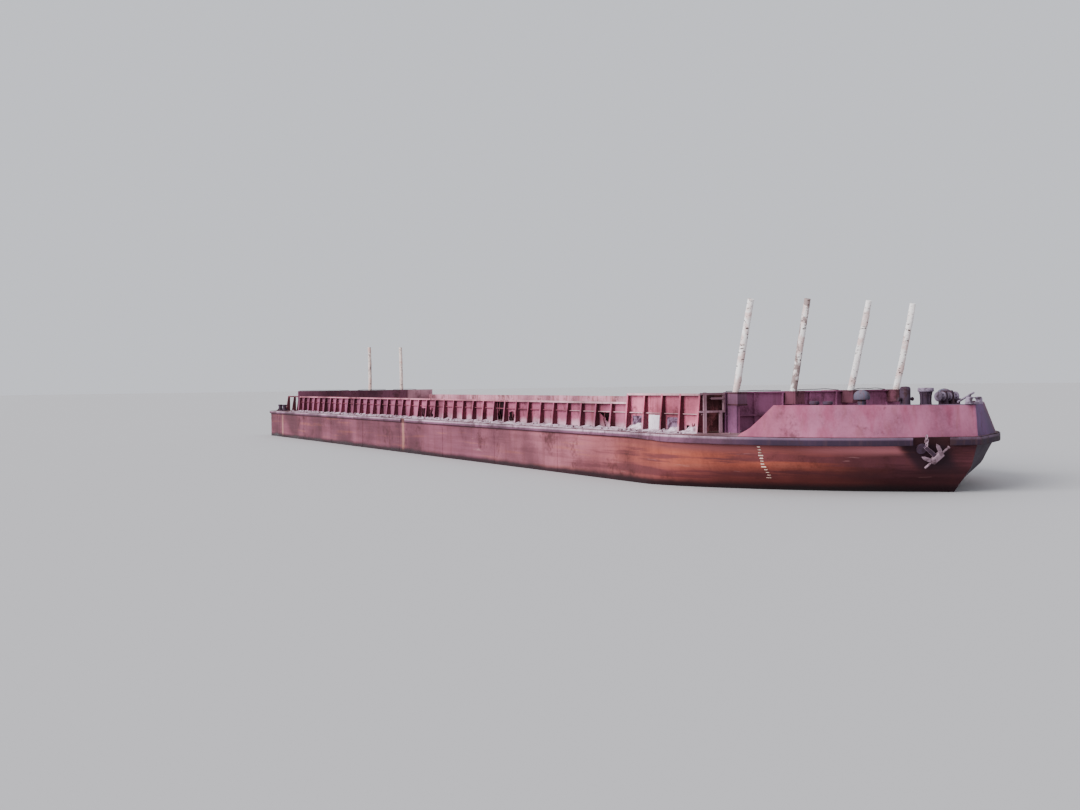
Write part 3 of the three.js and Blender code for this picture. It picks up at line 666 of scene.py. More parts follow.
def make_materials():
    make_rust_group()
    make_band_group()
    make_grime_group()
    rust = (0.23, 0.07, 0.042)
    LOOK.update({
        "hull": make_hull_paint(),
        "deck": painted(
            "deck_paint", (0.2, 0.105, 0.128), rust, amount=0.6, streaks=0.1, scale=1.4, grime=0.8),
        "floor_plates": painted(
            "floor_plates", (0.16, 0.075, 0.065), rust, amount=0.85, streaks=0.1, scale=0.9),
        "rail": make_rail_paint(),
        "wall": make_wall_paint(),
        "wall_edge": two_tone(
            "wall_edge_paint", 3.0, 6.0, 0, 0.6, (0.354, 0.123, 0.162), (0.49, 0.26, 0.3),
            (0.146, 0.046, 0.038), (0.03, 0.014, 0.015), 3.0, 0.3),
        "stringer": two_tone(
            "stringer_paint", 5.6, 6.4, 0, 0.6, (0.19, 0.05, 0.075), (0.48, 0.254, 0.293),
            (0.146, 0.046, 0.038), (0.03, 0.014, 0.015), 3.0, 0.3),
        "chalk": painted("chalk", (0.78, 0.68, 0.78), (0.35, 0.22, 0.28), amount=0.3, scale=5.0, grime=0.3),
        "wall_inside": painted(
            "wall_inside_paint", settings().walls.inside, rust, amount=0.45, streaks=0.7, scale=2.0),
        # Dark maroon of the bracket webs, darkened as painted shade on their fore faces
        "bracket": painted("bracket_shade_paint", (0.105, 0.026, 0.038), (0.08, 0.022, 0.022), scale=3.0),
        # Bulkhead paint, darker at its starboard end as painted shade on the web that faces the sun
        "bulkhead": two_tone(
            "bulkhead_paint", -1.9, -1.94, 1, 0.02, (0.24, 0.08, 0.158), (0.15, 0.056, 0.115),
            (0.12, 0.038, 0.05), (0.03, 0.012, 0.02), 2.4, 0.4),
        "bulwark": make_bulwark_paint(),
        # Light greyish mauve of the broken frame, painted lighter as painted light on its shaded fore faces
        "frame": painted("frame_lit_paint", (0.36, 0.2, 0.25), (0.2, 0.08, 0.08), amount=0.35, scale=4.0),
        "torn_inside": painted(
            "torn_inside", (0.2, 0.062, 0.068), (0.06, 0.02, 0.022), amount=0.7, scale=3.0),
        "gear": painted(
            "gear_iron", settings().gear.iron, (0.1, 0.04, 0.035), amount=0.45, scale=6.0, metallic=0.3),
        # Pale iron, which partly stands for a painted highlight on the tops of the dark gear
        "pale_gear": painted("pale_gear", (0.17, 0.13, 0.185), (0.09, 0.045, 0.045), scale=7.0),
        "vent": painted("vent_paint", (0.073, 0.065, 0.096), rust, amount=0.4, streaks=0.5, scale=5.0),
        "vent_body": painted(
            "vent_body_paint", (0.046, 0.038, 0.062), rust, amount=0.4, streaks=0.5, scale=5.0),
        "ticks": painted("tick_paint", (0.8, 0.52, 0.42), rust, amount=0.6, scale=8.0),
        "timber": make_timber("timber", 0.63),
        "timber_barked": make_timber("timber_barked", 0.465),
        "timber_aft": make_timber("timber_aft", 0.58, 0.86),
        "debris": make_debris("debris", (0.5, 0.4, 0.47), (0.17, 0.085, 0.11), 17.0),
        "spoil": make_debris("spoil", (0.7, 0.56, 0.66), (0.3, 0.17, 0.22), 9.0),
        # Bluish dark spoil, painted shade on the spoil caked against bays 37 and 39
        "damp_spoil": make_debris("damp_spoil", (0.23, 0.14, 0.22), (0.05, 0.02, 0.035), 12.0),
        # Near-black plate, painted shade for the inside of the box seen through the torn panels
        "dark_plate": painted(
            "dark_plate", (0.022, 0.009, 0.013), (0.06, 0.022, 0.022), amount=0.6, scale=3.0),
        "aft_plate": two_tone(
            "aft_plate_paint", 1.52, 1.62, 1, 0.12, (0.12, 0.043, 0.07), (0.42, 0.2, 0.25),
            (0.13, 0.045, 0.045), (0.03, 0.012, 0.02), 2.0, 0.5),
        "pocket": painted("pocket_paint", (0.092, 0.031, 0.047), (0.07, 0.024, 0.026), scale=4.0),
        # Lighter greyish purple for stake pocket 1, painted light on its side that the broken frame shades
        "lit_pocket": painted(
            "lit_pocket", (0.17, 0.075, 0.128), (0.09, 0.038, 0.05), amount=0.3, scale=4.0),
        "anchor": painted("anchor_iron", (0.26, 0.165, 0.21), (0.09, 0.038, 0.045), scale=9.0),
    })


# Geometry node trees

def geometry_group(name, inputs):
    """A geometry tree's writer and sockets: the object's own geometry, the inputs and a material."""
    rows = [("Geometry", "Geometry", None), *inputs, ("Material", "Material", None)]
    return node_group(name, "GeometryNodeTree", rows, [("Geometry", "Geometry")])


def finish_tree(net, given, end, geometry):
    realized = net.out("GeometryNodeRealizeInstances", {0: geometry})
    coloured = net.out("GeometryNodeSetMaterial", {"Geometry": realized, "Material": given["Material"]})
    net.set(end[0], coloured)


def place_parts(net, given, end, points, turn_low, turn_high, smallest, largest):
    """Copies of the part at points, each with a random turn and size."""
    part = net.put(
        "GeometryNodeObjectInfo", {"Object": given["Part"], "As Instance": True}, transform_space="ORIGINAL")
    turn = net.put(
        "FunctionNodeRandomValue", {"Min": turn_low, "Max": turn_high, "Seed": given["Seed"]},
        data_type="FLOAT_VECTOR")
    size = net.put(
        "FunctionNodeRandomValue", {2: smallest, 3: largest, "Seed": given["Seed"]}, data_type="FLOAT")
    placed = net.out("GeometryNodeInstanceOnPoints", {
        "Points": points, "Instance": part.outputs["Geometry"], "Rotation": turn.outputs[0],
        "Scale": size.outputs[1]})
    finish_tree(net, given, end, placed)


def make_sweep_tree():
    """A bar of a width and height swept along the object's own edges, slightly uneven."""
    net, given, end = geometry_group("bar_along_path", [
        ("Width", "Float", 0.05), ("Height", "Float", 0.1), ("Round", "Float", 0.01),
        ("Uneven", "Float", 0.002), ("Grain", "Float", 3.0)])
    curve = net.out("GeometryNodeMeshToCurve", {0: given["Geometry"]})
    level = net.out("GeometryNodeSetCurveNormal", {0: curve}, mode="Z_UP")
    profile = net.out(
        "GeometryNodeCurvePrimitiveQuadrilateral", {0: given["Width"], 1: given["Height"]}, mode="RECTANGLE")
    rounded = net.out(
        "GeometryNodeFilletCurve", {0: profile, "Radius": given["Round"], "Count": 3}, mode="POLY")
    bar = net.out("GeometryNodeCurveToMesh", {0: level, 1: rounded, "Fill Caps": True})
    texture = net.put("ShaderNodeTexNoise", {"Detail": 3.0, "Scale": given["Grain"]})
    centred = net.out(
        "ShaderNodeVectorMath", {0: texture.outputs[1], 1: (0.5, 0.5, 0.5)}, operation="SUBTRACT")
    offset = net.out("ShaderNodeVectorMath", {0: centred, "Scale": given["Uneven"]}, operation="SCALE")
    finish_tree(net, given, end, net.out("GeometryNodeSetPosition", {"Geometry": bar, "Offset": offset}))


def make_row_tree():
    """Copies of a part at the object's own points, each with a small random lean."""
    net, given, end = geometry_group("part_at_points", [
        ("Part", "Object", None), ("Lean", "Float", 0.0), ("Seed", "Int", 1)])
    leans = [net.out("ShaderNodeCombineXYZ", dict.fromkeys(range(3), lean))
             for lean in (net.minus(0.0, given["Lean"]), given["Lean"])]
    place_parts(net, given, end, given["Geometry"], *leans, 1.0, 1.0)


def make_scatter_tree():
    """Grains of a part strewn over the object's own faces."""
    net, given, end = geometry_group("grains_on_faces", [
        ("Part", "Object", None), ("Density", "Float", 20.0), ("Smallest", "Float", 0.3),
        ("Largest", "Float", 1.0), ("Seed", "Int", 1)])
    spots = net.put("GeometryNodeDistributePointsOnFaces", {
        "Mesh": given["Geometry"], "Density": given["Density"], "Seed": given["Seed"]})
    place_parts(net, given, end, spots.outputs["Points"], (0, 0, 0), (0.5, 0.5, 6.28),
                given["Smallest"], given["Largest"])


def grow(name, base, tree_name, values, smooth=None):
    """Runs a node tree on a base object and returns its result as a plain mesh object."""
    tree = bpy.data.node_groups[tree_name]
    modifier = base.modifiers.new(tree_name, "NODES")
    modifier.node_group = tree
    sockets = {item.name: item.identifier for item in tree.interface.items_tree if item.in_out == "INPUT"}
    for label, value in values.items():
        modifier[sockets[label]] = value
    bpy.context.view_layer.update()
    graph = bpy.context.evaluated_depsgraph_get()
    mesh = bpy.data.meshes.new_from_object(base.evaluated_get(graph), depsgraph=graph)
    base.modifiers.remove(modifier)
    drop(base)
    if not mesh.polygons:
        raise RuntimeError(name + " came out empty")
    mesh.name = name
    return link(name, mesh, smooth)


def path_object(name, paths):
    """Edges along one or more paths in real metres."""
    verts, edges = [], []
    for path in paths:
        start = len(verts)
        verts += [tuple(value * M for value in point) for point in path]
        edges += [(i, i + 1) for i in range(start, len(verts) - 1)]
    mesh = bpy.data.meshes.new(name)
    mesh.from_pydata(verts, edges, [])
    return link(name, mesh)


def sweep(name, paths, width, height, look, rounding, uneven, grain=3.0, nodes=()):
    """A bar along each path, settled as one piece."""
    values = {
        "Width": width * M, "Height": height * M, "Round": rounding * M, "Uneven": uneven * M,
        "Grain": grain, "Material": LOOK[look]}
    made = grow(name, path_object(name + "_path", paths), "bar_along_path", values, smooth=35)
    settle(made, nodes)


def row_of(name, part, points, look, lean, seed):
    """Copies of a part at points, settled as one piece."""
    base = path_object(name + "_points", [[point] for point in points])
    values = {"Part": part, "Lean": lean, "Seed": seed, "Material": LOOK[look]}
    settle(grow(name, base, "part_at_points", values))


def strew(name, part, patches, density, smallest, largest, seed):
    """Grains over flat patches, each given by its two corners and height."""
    ground = Shape()
    for x0, x1, y0, y1, z in patches:
        ground.face(ground.points([(x0, y0, z), (x1, y0, z), (x1, y1, z), (x0, y1, z)]))
    values = {
        "Part": part, "Density": density, "Smallest": smallest, "Largest": largest,
        "Seed": seed, "Material": LOOK["debris"]}
    settle(grow(name, ground.build(name + "_ground"), "grains_on_faces", values))


# Hull

def hull_dent(x, y, z):
    """How far the plating sinks between its frames, as a share of the dent depth."""
    share = (z - 0.5) / (DECK - 0.7)
    if not 0 < share < 1 or abs(y) < 0.01:
        return 0.0
    frames = sin(pi * (y if x < STERN + 0.4 else x) / FRAMES) ** 2
    strength = 0.5 + 0.9 * max(0.0, wave(x, y, z, 3.0, 4.0) + 0.25)
    knock = max(0.0, wave(x, y, z, 1.7, 9.0) - 0.18) * 7.0
    return sin(pi * share) * (0.45 * frames * strength + knock + 0.35)


def skin_rows():
    heights = [0.0, 0.06, 0.12, 0.21, 0.3, 0.385, 0.47]
    heights += [WATERLINE + (DECK - WATERLINE) * k / 18 for k in range(1, 19)]
    rows = []
    deep = settings().hull.dent / M
    for height in heights:
        half = ring_at(height)
        whole = half + mirrored(reversed(half[1:-1]))
        row = []
        for i, (x, y, z) in enumerate(whole):
            before, after = whole[i - 1], whole[(i + 1) % len(whole)]
            inward = Vector((before[1] - after[1], after[0] - before[0], 0)).normalized()
            row.append(Vector((x, y, z)) + inward * hull_dent(x, y, z) * deep)
        rows.append(row)
    return rows


class BARGE_OT_hull(bpy.types.Operator):
    """Plated hull with dents between frames, and its deck"""
    bl_idname = "barge.hull"
    bl_label = "Hull"

    def execute(self, context):
        shape = Shape()
        shape.skin(skin_rows(), top=1)
        shape.piece("hull_plating", "hull_paint", "hull", "deck", nodes=["hull"], smooth=30)
        return {"FINISHED"}


class BARGE_OT_seams(bpy.types.Operator):
    """Weld seams of the hull's plates, and draught ticks"""
    bl_idname = "barge.seams"
    bl_label = "Hull seams"

    def execute(self, context):
        paths = []
        for hand in (-1, 1):
            for x in [-25.6 + 5.5 * k for k in range(8)]:
                heights = [0.36 + 0.1 * k for k in range(17)]
                paths.append([(x, hand * (side_y(x, z) + 0.004), z) for z in heights])
        sweep("hull_weld_seams", paths, 0.014, 0.006, "hull", 0.002, 0.004, 9.0)
        ticks = Shape()
        last = 12
        for k in range(last + 1):
            z = 0.88 + 1.12 * k / last
            x = 23.42 + 0.29 * (k / last) ** 0.5
            y = -side_y(x, z)
            slope = (side_y(x + 0.1, z) - side_y(x - 0.1, z)) / 0.2
            wide = 0.13 if k % 4 == 0 else 0.09
            ends = [(x + hand * wide / 2, y - hand * slope * wide / 2 - 0.012) for hand in (-1, 1)]
            low = [(*spot, z) for spot in ends]
            high = [(px, py - 0.012, z + 0.035) for px, py in reversed(ends)]
            ticks.prism(low + high, (0.0, 0.03, 0.0))
        ticks.piece("draught_ticks", "rail_paint", "ticks", bevel=0.003)
        return {"FINISHED"}


class BARGE_OT_rub_rails(bpy.types.Operator):
    """Rub rails round the deck edge, swept along the hull's outline"""
    bl_idname = "barge.rub_rails"
    bl_label = "Rub rails"

    # From and to: the parted stretch amidships, where the rail deepens, and the gap at the anchor, across
    PARTED = (-3.24, -2.7)
    DEEPENS = (18.0, 20.0)
    GAP = (-1.88, -0.84)

    def execute(self, context):
        light, heavy = self.DEEPENS
        middle = ring_at(DECK, RAIL_THICK / 2, side_steps=160)
        side = middle[13:]
        port = mirrored(side)
        bow = [p for p in side if p[0] > heavy]
        aft = STERN + CORNER
        runs = {
            "rub_rail_starboard_aft": (side, aft, self.PARTED[0], RAIL_LIGHT),
            "rub_rail_starboard_mid": (side, self.PARTED[1], light, RAIL_LIGHT),
            "rub_rail_starboard_fore": (side, light, heavy, RAIL_LIGHT),
            "rub_rail_starboard_bow": (side, heavy, reading(bow, self.GAP[0], 1, 0), RAIL_HEAVY),
            "rub_rail_port_aft": (port, aft, light, RAIL_LIGHT),
            "rub_rail_port_fore": (port, light, heavy, RAIL_LIGHT),
        }
        for name, (line, start, end, height) in runs.items():
            inner = [p for p in line if start + 0.05 < p[0] < end - 0.05]
            ends = [(x, reading(line, x), DECK) for x in (start + 0.01, end - 0.01)]
            self.rail(name, [ends[0], *inner, ends[1]], height)
        nose = [p for p in port if p[0] > heavy + 0.01]
        lip = [p for p in reversed(bow[:-1]) if p[1] > -0.8]
        tail = (reading(bow, self.GAP[1], 1, 0), self.GAP[1], DECK)
        self.rail("rub_rail_port_bow", [*nose, *lip, tail], RAIL_HEAVY)
        transom = middle[:14]
        self.rail("rub_rail_stern", mirrored(reversed(transom[1:])) + transom, RAIL_LIGHT)
        return {"FINISHED"}

    def rail(self, name, path, height):
        """One bar; on the two runs where the rail deepens, a second bar that sinks from behind it."""
        middle = DECK - height / 2
        paths = [[(x, y, middle) for x, y, _ in path]]
        if name.endswith("_fore"):
            start, end = path[0][0], path[-1][0]
            paths.append([(x, y, middle - 0.08 * (x - start) / (end - start)) for x, y, _ in path])
        sweep(name + "_bar", paths, RAIL_THICK - 0.02, height - 0.02, "rail",
              0.025, 0.025, 4.0, [name])


# Cargo box

# Torn starboard panels: bay, and the outline of its opening, as shares of the bay and heights over the deck
TORN = {
    18: ((0.6, 0.0), (1.0, 0.0), (1.0, 0.5), (0.75, 0.42)),
    19: ((0.03, 0.0), (0.97, 0.0), (0.95, 0.6), (0.5, 0.52), (0.05, 0.58)),
    20: ((0.0, 0.0), (0.45, 0.0), (0.3, 0.4), (0.0, 0.5)),
    27: ((0.05, 0.03), (0.95, 0.03), (0.94, 0.62), (0.85, 0.97), (0.12, 0.97), (0.06, 0.5)),
    28: ((0.04, 0.0), (0.9, 0.0), (0.85, 0.3), (0.5, 0.52), (0.06, 0.48)),
    35: ((0.03, 0.6), (0.88, 0.61), (0.88, 0.2), (0.66, 0.22), (0.34, 0.38)),
    40: ((0.1, 0.0), (0.8, 0.0), (0.75, 0.2), (0.12, 0.26)),
}
# Distance given for panels without a tear
FAR = 9.0


def tear_distance(share, height, outline):
    """Real distance from a spot on a panel to the edge of its tear, negative inside it."""
    inside = False
    reach = FAR
    for (s0, h0), (s1, h1) in zip(outline, outline[1:] + outline[:1]):
        ax, ay, bx, by = (s0 - share) * BAY, h0 - height, (s1 - share) * BAY, h1 - height
        dx, dy = bx - ax, by - ay
        t = clamp(-(ax * dx + ay * dy) / (dx * dx + dy * dy))
        reach = min(reach, hypot(ax + t * dx, ay + t * dy))
        if (ay > 0) != (by > 0) and ax + (bx - ax) * -ay / (by - ay) > 0:
            inside = not inside
    return -reach if inside else reach


class BARGE_OT_cargo_walls(bpy.types.Operator):
    """Cargo walls: panels, torn ones with their flaps, brackets, stringer and top flange"""
    bl_idname = "barge.cargo_walls"
    bl_label = "Cargo walls"

    def execute(self, context):
        for hand, label in ((-1, "starboard"), (1, "port")):
            self.panels(hand, label)
            self.brackets(hand, label)
            self.bars(hand, label)
        self.flaps()
        for cake in self.CAKES:
            self.caked(*cake)
        return {"FINISHED"}

    def panels(self, hand, label):
        shape = Shape()
        bulge = settings().walls.bulge / M
        for i in range(BAYS):
            tear = TORN.get(i) if hand < 0 else None
            across, up = (24, 22) if tear else (8, 6)
            x0, top = WALL_AFT + i * BAY, (RAISED_TOP if i >= RAISED_FROM else WALL_TOP) - 0.02
            seed = hand * 3.7 + i * 1.31
            out = random.Random(i * 7 + (hand + 1) * 100).uniform(-1.2, 1.4)

            def place(j, k):
                """Share of the bay and height over the deck."""
                return k / across, 0.01 + (top - 0.01) * j / up

            def gap(share, height):
                if not tear:
                    return FAR
                return tear_distance(share, height, tear) + 0.05 * wave(share * BAY, height, seed, 0.11)

            def spot(j, k):
                share, height = place(j, k)
                swell = sin(pi * share) * sin(pi * j / up)
                rough = 0.6 * wave(x0 + share, seed, height, 0.5, 2.0)
                curl = max(0.0, 1 - abs(gap(share, height)) / 0.14) * 0.09 * sin(pi * share)
                deep = bulge * swell * (out + rough) + curl * (0.4 + 2 * wave(share, height, seed, 0.3))
                return x0 + share * BAY, hand * (WALL_Y - 0.012 + deep), DECK + height

            def kept(k, j):
                return gap(*place(j + 0.5, k + 0.5)) > 0

            shape.sheet(lattice(up, across, spot), (0, -hand * 0.018, 0), kept)
        shape.piece(f"wall_panels_{label}", "wall_paint", "wall", "wall_inside",
                    nodes=[f"cargo_wall_{label}"], smooth=35, weld=False)

    # Spoil caked against the raised panels: name, bay, share of the bay from and to, height and finish
    CAKES = (
        ("damp_spoil_cake_aft", 37, 0.12, 0.92, 0.52, "damp_spoil"),
        ("pale_spoil_cake", 38, 0.08, 0.74, 0.57, "chalk"),
        ("damp_spoil_cake_fore", 39, 0.12, 0.9, 0.5, "damp_spoil"),
    )

    def caked(self, name, bay, first, last, top, look):
        """A cake of spoil that stands against one panel."""
        x0 = WALL_AFT + bay * BAY
        up, across = 14, 18

        def spot(j, k):
            share, height = first + (last - first) * k / across, top * j / up
            edge = min(k, across - k, up - j, 2) / 2
            ragged = 0.03 * wave(share, height, bay, 0.2)
            rough = 0.02 * wave(x0 + share, height, 2.2, 0.12)
            out = 0.012 + edge * (0.03 + 0.05 * (1 - j / up)) + rough * edge
            return x0 + BAY * (share + ragged), -(WALL_Y + out), DECK + 0.01 + height + ragged * edge

        shape = Shape()
        shape.sheet(lattice(up, across, spot), (0, 0.012, 0))
        shape.piece(name, "wall_paint", look, look, smooth=50, weld=False)

    def flaps(self):
        """Torn plating that hangs inward behind its opening, and bent strips across it."""
        shape, strips = Shape(), []
        for i, outline in TORN.items():
            low, high = min(h for _, h in outline), min(0.99, max(h for _, h in outline) + 0.06)
            first, last = min(s for s, _ in outline) - 0.5, max(s for s, _ in outline) + 0.05
            x0 = WALL_AFT + i * BAY

            def spot(j, k):
                down, share = j / 8, first + (last - first) * k / 8
                crumple = 0.09 * wave(share, down, i, 0.35, 3.0)
                deep = 0.03 + 0.2 * down ** 1.3 + crumple * down
                height = high - (high - low) * down * 0.93 + 0.4 * crumple * down
                return x0 + share * BAY, deep + 0.05 - WALL_Y, DECK + 0.045 + max(0.0, height - 0.02)

            shape.sheet(lattice(8, 8, spot), (0, 0.012, 0))
            rng = random.Random(i * 13)
            for _ in range(2 if high > 0.3 else 1):
                x = x0 + BAY * rng.uniform(first + 0.65, last - 0.2)
                slant = rng.uniform(-0.25, 0.25)
                strip = []
                for share in [k / 6 for k in range(7)]:
                    bend = 0.06 * sin(pi * share) + 0.03 * wave(share, i, 0, 0.3)
                    strip.append((x + slant * share, -(WALL_Y + bend), DECK + 0.03 + (high - 0.03) * share))
                strips.append(strip)
        # The flaps are near-black, as painted shade behind the openings
        shape.piece("torn_wall_flaps", "wall_paint", "dark_plate", "dark_plate", smooth=40, weld=False)
        sweep("bent_wall_strips", strips, 0.05, 0.014, "bracket", 0.003, 0.01, 6.0)

    def brackets(self, hand, label):
        foot, head = BRACKET_FOOT, BRACKET_TOP
        for kind, bays, top in (
                ("low", range(RAISED_FROM), WALL_TOP - 0.03),
                ("high", range(RAISED_FROM, BAYS + 1), RAISED_TOP - 0.03)):
            web = [(0, 0), (foot - 0.026, 0), (head - 0.021, top), (0, top)]
            face = [(foot - 0.025, 0.0), (foot, 0.0), (head, top), (head - 0.02, top)]
            places = [min(max(WALL_AFT + i * BAY, WALL_AFT + 0.055), WALL_FORE - 0.055) for i in bays]
            spots = [(x, hand * WALL_Y, DECK + 0.002) for x in places]
            for piece, outline, half, look in (
                    ("webs", web, 0.012, "bracket"), ("bars", face, 0.045, "wall")):
                shape = Shape()
                shape.prism([(-half, hand * y, z) for y, z in outline], (2 * half, 0, 0))
                part = shape.build("bracket_part", bevel=0.004)
                row_of(f"bracket_{piece}_{kind}_{label}", part, spots, look, 0.012, 5 + hand)
                drop(part)

    def bars(self, hand, label):
        """Top flange, the lip along its edge, and the stringer, all slightly wavy."""
        y = hand * WALL_Y

        def line(x0, x1, offset, z):
            count = max(2, int((x1 - x0) / 0.37))
            points = []
            for k in range(count + 1):
                x = x0 + (x1 - x0) * k / count
                lift = 0.012 * wave(x, y, z, 2.2, 6.0)
                points.append((x, y + hand * offset + lift, z + 0.6 * lift - 0.01))
            return points

        aft, split, fore = WALL_AFT + 0.01, WALL_AFT + RAISED_FROM * BAY, WALL_FORE - 0.01
        flange = [
            line(aft, split - 0.01, BRACKET_TOP / 2, DECK + WALL_TOP - 0.03),
            line(split, fore, BRACKET_TOP / 2, DECK + RAISED_TOP - 0.03),
        ]
        lip = [[(x, py + hand * 0.075, z - 0.025) for x, py, z in path] for path in flange]
        stringer = [line(aft, fore, 0.04, DECK + 0.65)]
        for name, paths, width, height, look, rounding in (
                ("flange", flange, 0.17, 0.035, "wall_edge", 0.01),
                ("flange_lip", lip, 0.022, 0.06, "wall_edge", 0.006),
                ("stringer", stringer, 0.08, 0.032, "stringer", 0.008)):
            sweep(f"wall_{name}_{label}", paths, width, height, look, rounding, 0.006)


class BARGE_OT_floor(bpy.types.Operator):
    """Wear plating of the cargo floor, in plates with seams"""
    bl_idname = "barge.floor"
    bl_label = "Cargo floor"

    def execute(self, context):
        shape = Shape()
        edge = WALL_Y - 0.041
        cols, rows, steps, seam = 21, 5, 6, 0.008
        length = (WALL_FORE - WALL_AFT) / cols
        width = 2 * edge / rows
        for i in range(cols):
            for j in range(rows):
                def spot(b, a):
                    x = WALL_AFT + i * length + seam + (length - 2 * seam) * a / steps
                    y = -edge + j * width + seam + (width - 2 * seam) * b / steps
                    rim = a in (0, steps) or b in (0, steps)
                    dip = 0.0 if rim else 0.012 * max(0.0, wave(x, y, 0, 0.9, 3.0))
                    return x, y, DECK + 0.04 - dip

                shape.sheet(lattice(steps, steps, spot), (0, 0, -0.025))
        shape.piece("floor_plating", "bulkhead_paint", "floor_plates", "floor_plates",
                    nodes=["cargo_floor"], smooth=30, weld=False)
        return {"FINISHED"}


class BARGE_OT_debris(bpy.types.Operator):
    """Pale spoil heaped along the walls' feet, grit on the deck, and left-over cargo in the box"""
    bl_idname = "barge.debris"
    bl_label = "Debris"

    def execute(self, context):
        self.heaps("spoil_heaps_starboard", -1, 0.085)
        self.heaps("spoil_heaps_port", 1, 0.05)
        grain = Shape()
        rng = random.Random(11)
        corners = (0, 1.25, 2.5, 3.77, 5.03)
        grain.skin([
            [(r * rng.uniform(0.7, 1.2) * cos(a), r * rng.uniform(0.7, 1.2) * sin(a), z) for a in corners]
            for z, r in ((0.0, 0.05), (0.04, 0.06), (0.075, 0.025))])
        part = grain.build("grain_part")
        top = DECK + 0.004
        edge = [
            (-24.3, 20.6, -5.95, -4.95, top), (-24.3, 20.6, 5.0, 5.9, top),
            (20.9, 22.6, -4.6, 4.6, top), (-27.2, -25.2, -4.6, 4.6, top),
        ]
        inside = [(-24.0, 20.4, -4.6, 4.6, DECK + 0.042)]
        strew("deck_grit", part, edge, 22.0, 0.25, 1.4, 3)
        strew("floor_chips", part, inside, 7.0, 0.2, 1.1, 8)
        drop(part)
        return {"FINISHED"}

    # Bays with spoil packed high against the starboard wall: height, and the share of the bay it fills
    PACKED = {37: (0.13, 0.0, 0.9), 39: (0.12, 0.3, 0.85), 40: (0.14, 0.25, 0.75)}

    def heaps(self, name, hand, height):
        """An uneven band along the wall's foot, packed high in some bays; else it dips under the deck."""
        length = WALL_FORE - WALL_AFT
        across, up, under = int(length / 0.06), 12, -0.02

        def spot(j, k):
            out = 1.13 * (j / up) ** 1.4
            x = WALL_AFT + length * k / across
            bay, share = divmod((x - WALL_AFT) / BAY, 1)
            packed, first, last = (hand < 0 and self.PACKED.get(int(bay))) or (0, 0, 1)
            inside = clamp((share - first) / 0.06) * clamp((last - share) / 0.06)
            steep = clamp((0.2 - out) / 0.08)
            rough = wave(x, out, hand, 0.45, 2.0) + 0.5 * wave(x, out, hand, 0.16, 5.0)
            band = height * (1.0 + 0.65 * rough) * (0.3 + 0.7 * exp(-((out / 0.35) ** 2)))
            lift = band + packed * inside * steep * (1 + 0.5 * rough) + under
            closed = 0 < k < across and 0 < j < up
            return x, hand * (WALL_Y - 0.005 + out), DECK + (max(lift, under) if closed else under)

        shape = Shape()
        shape.sheet(lattice(up, across, spot), (0, 0, -0.03))
        shape.piece(name, "hull_paint", "spoil", "spoil", smooth=60, weld=False)


def repaint(node, look):
    """Gives a CAD node's slots one material."""
    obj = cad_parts[node]
    if not obj.material_slots:
        raise RuntimeError(node + " has no material slot")
    for place in obj.material_slots:
        place.link = "OBJECT"
        place.material = LOOK[look]


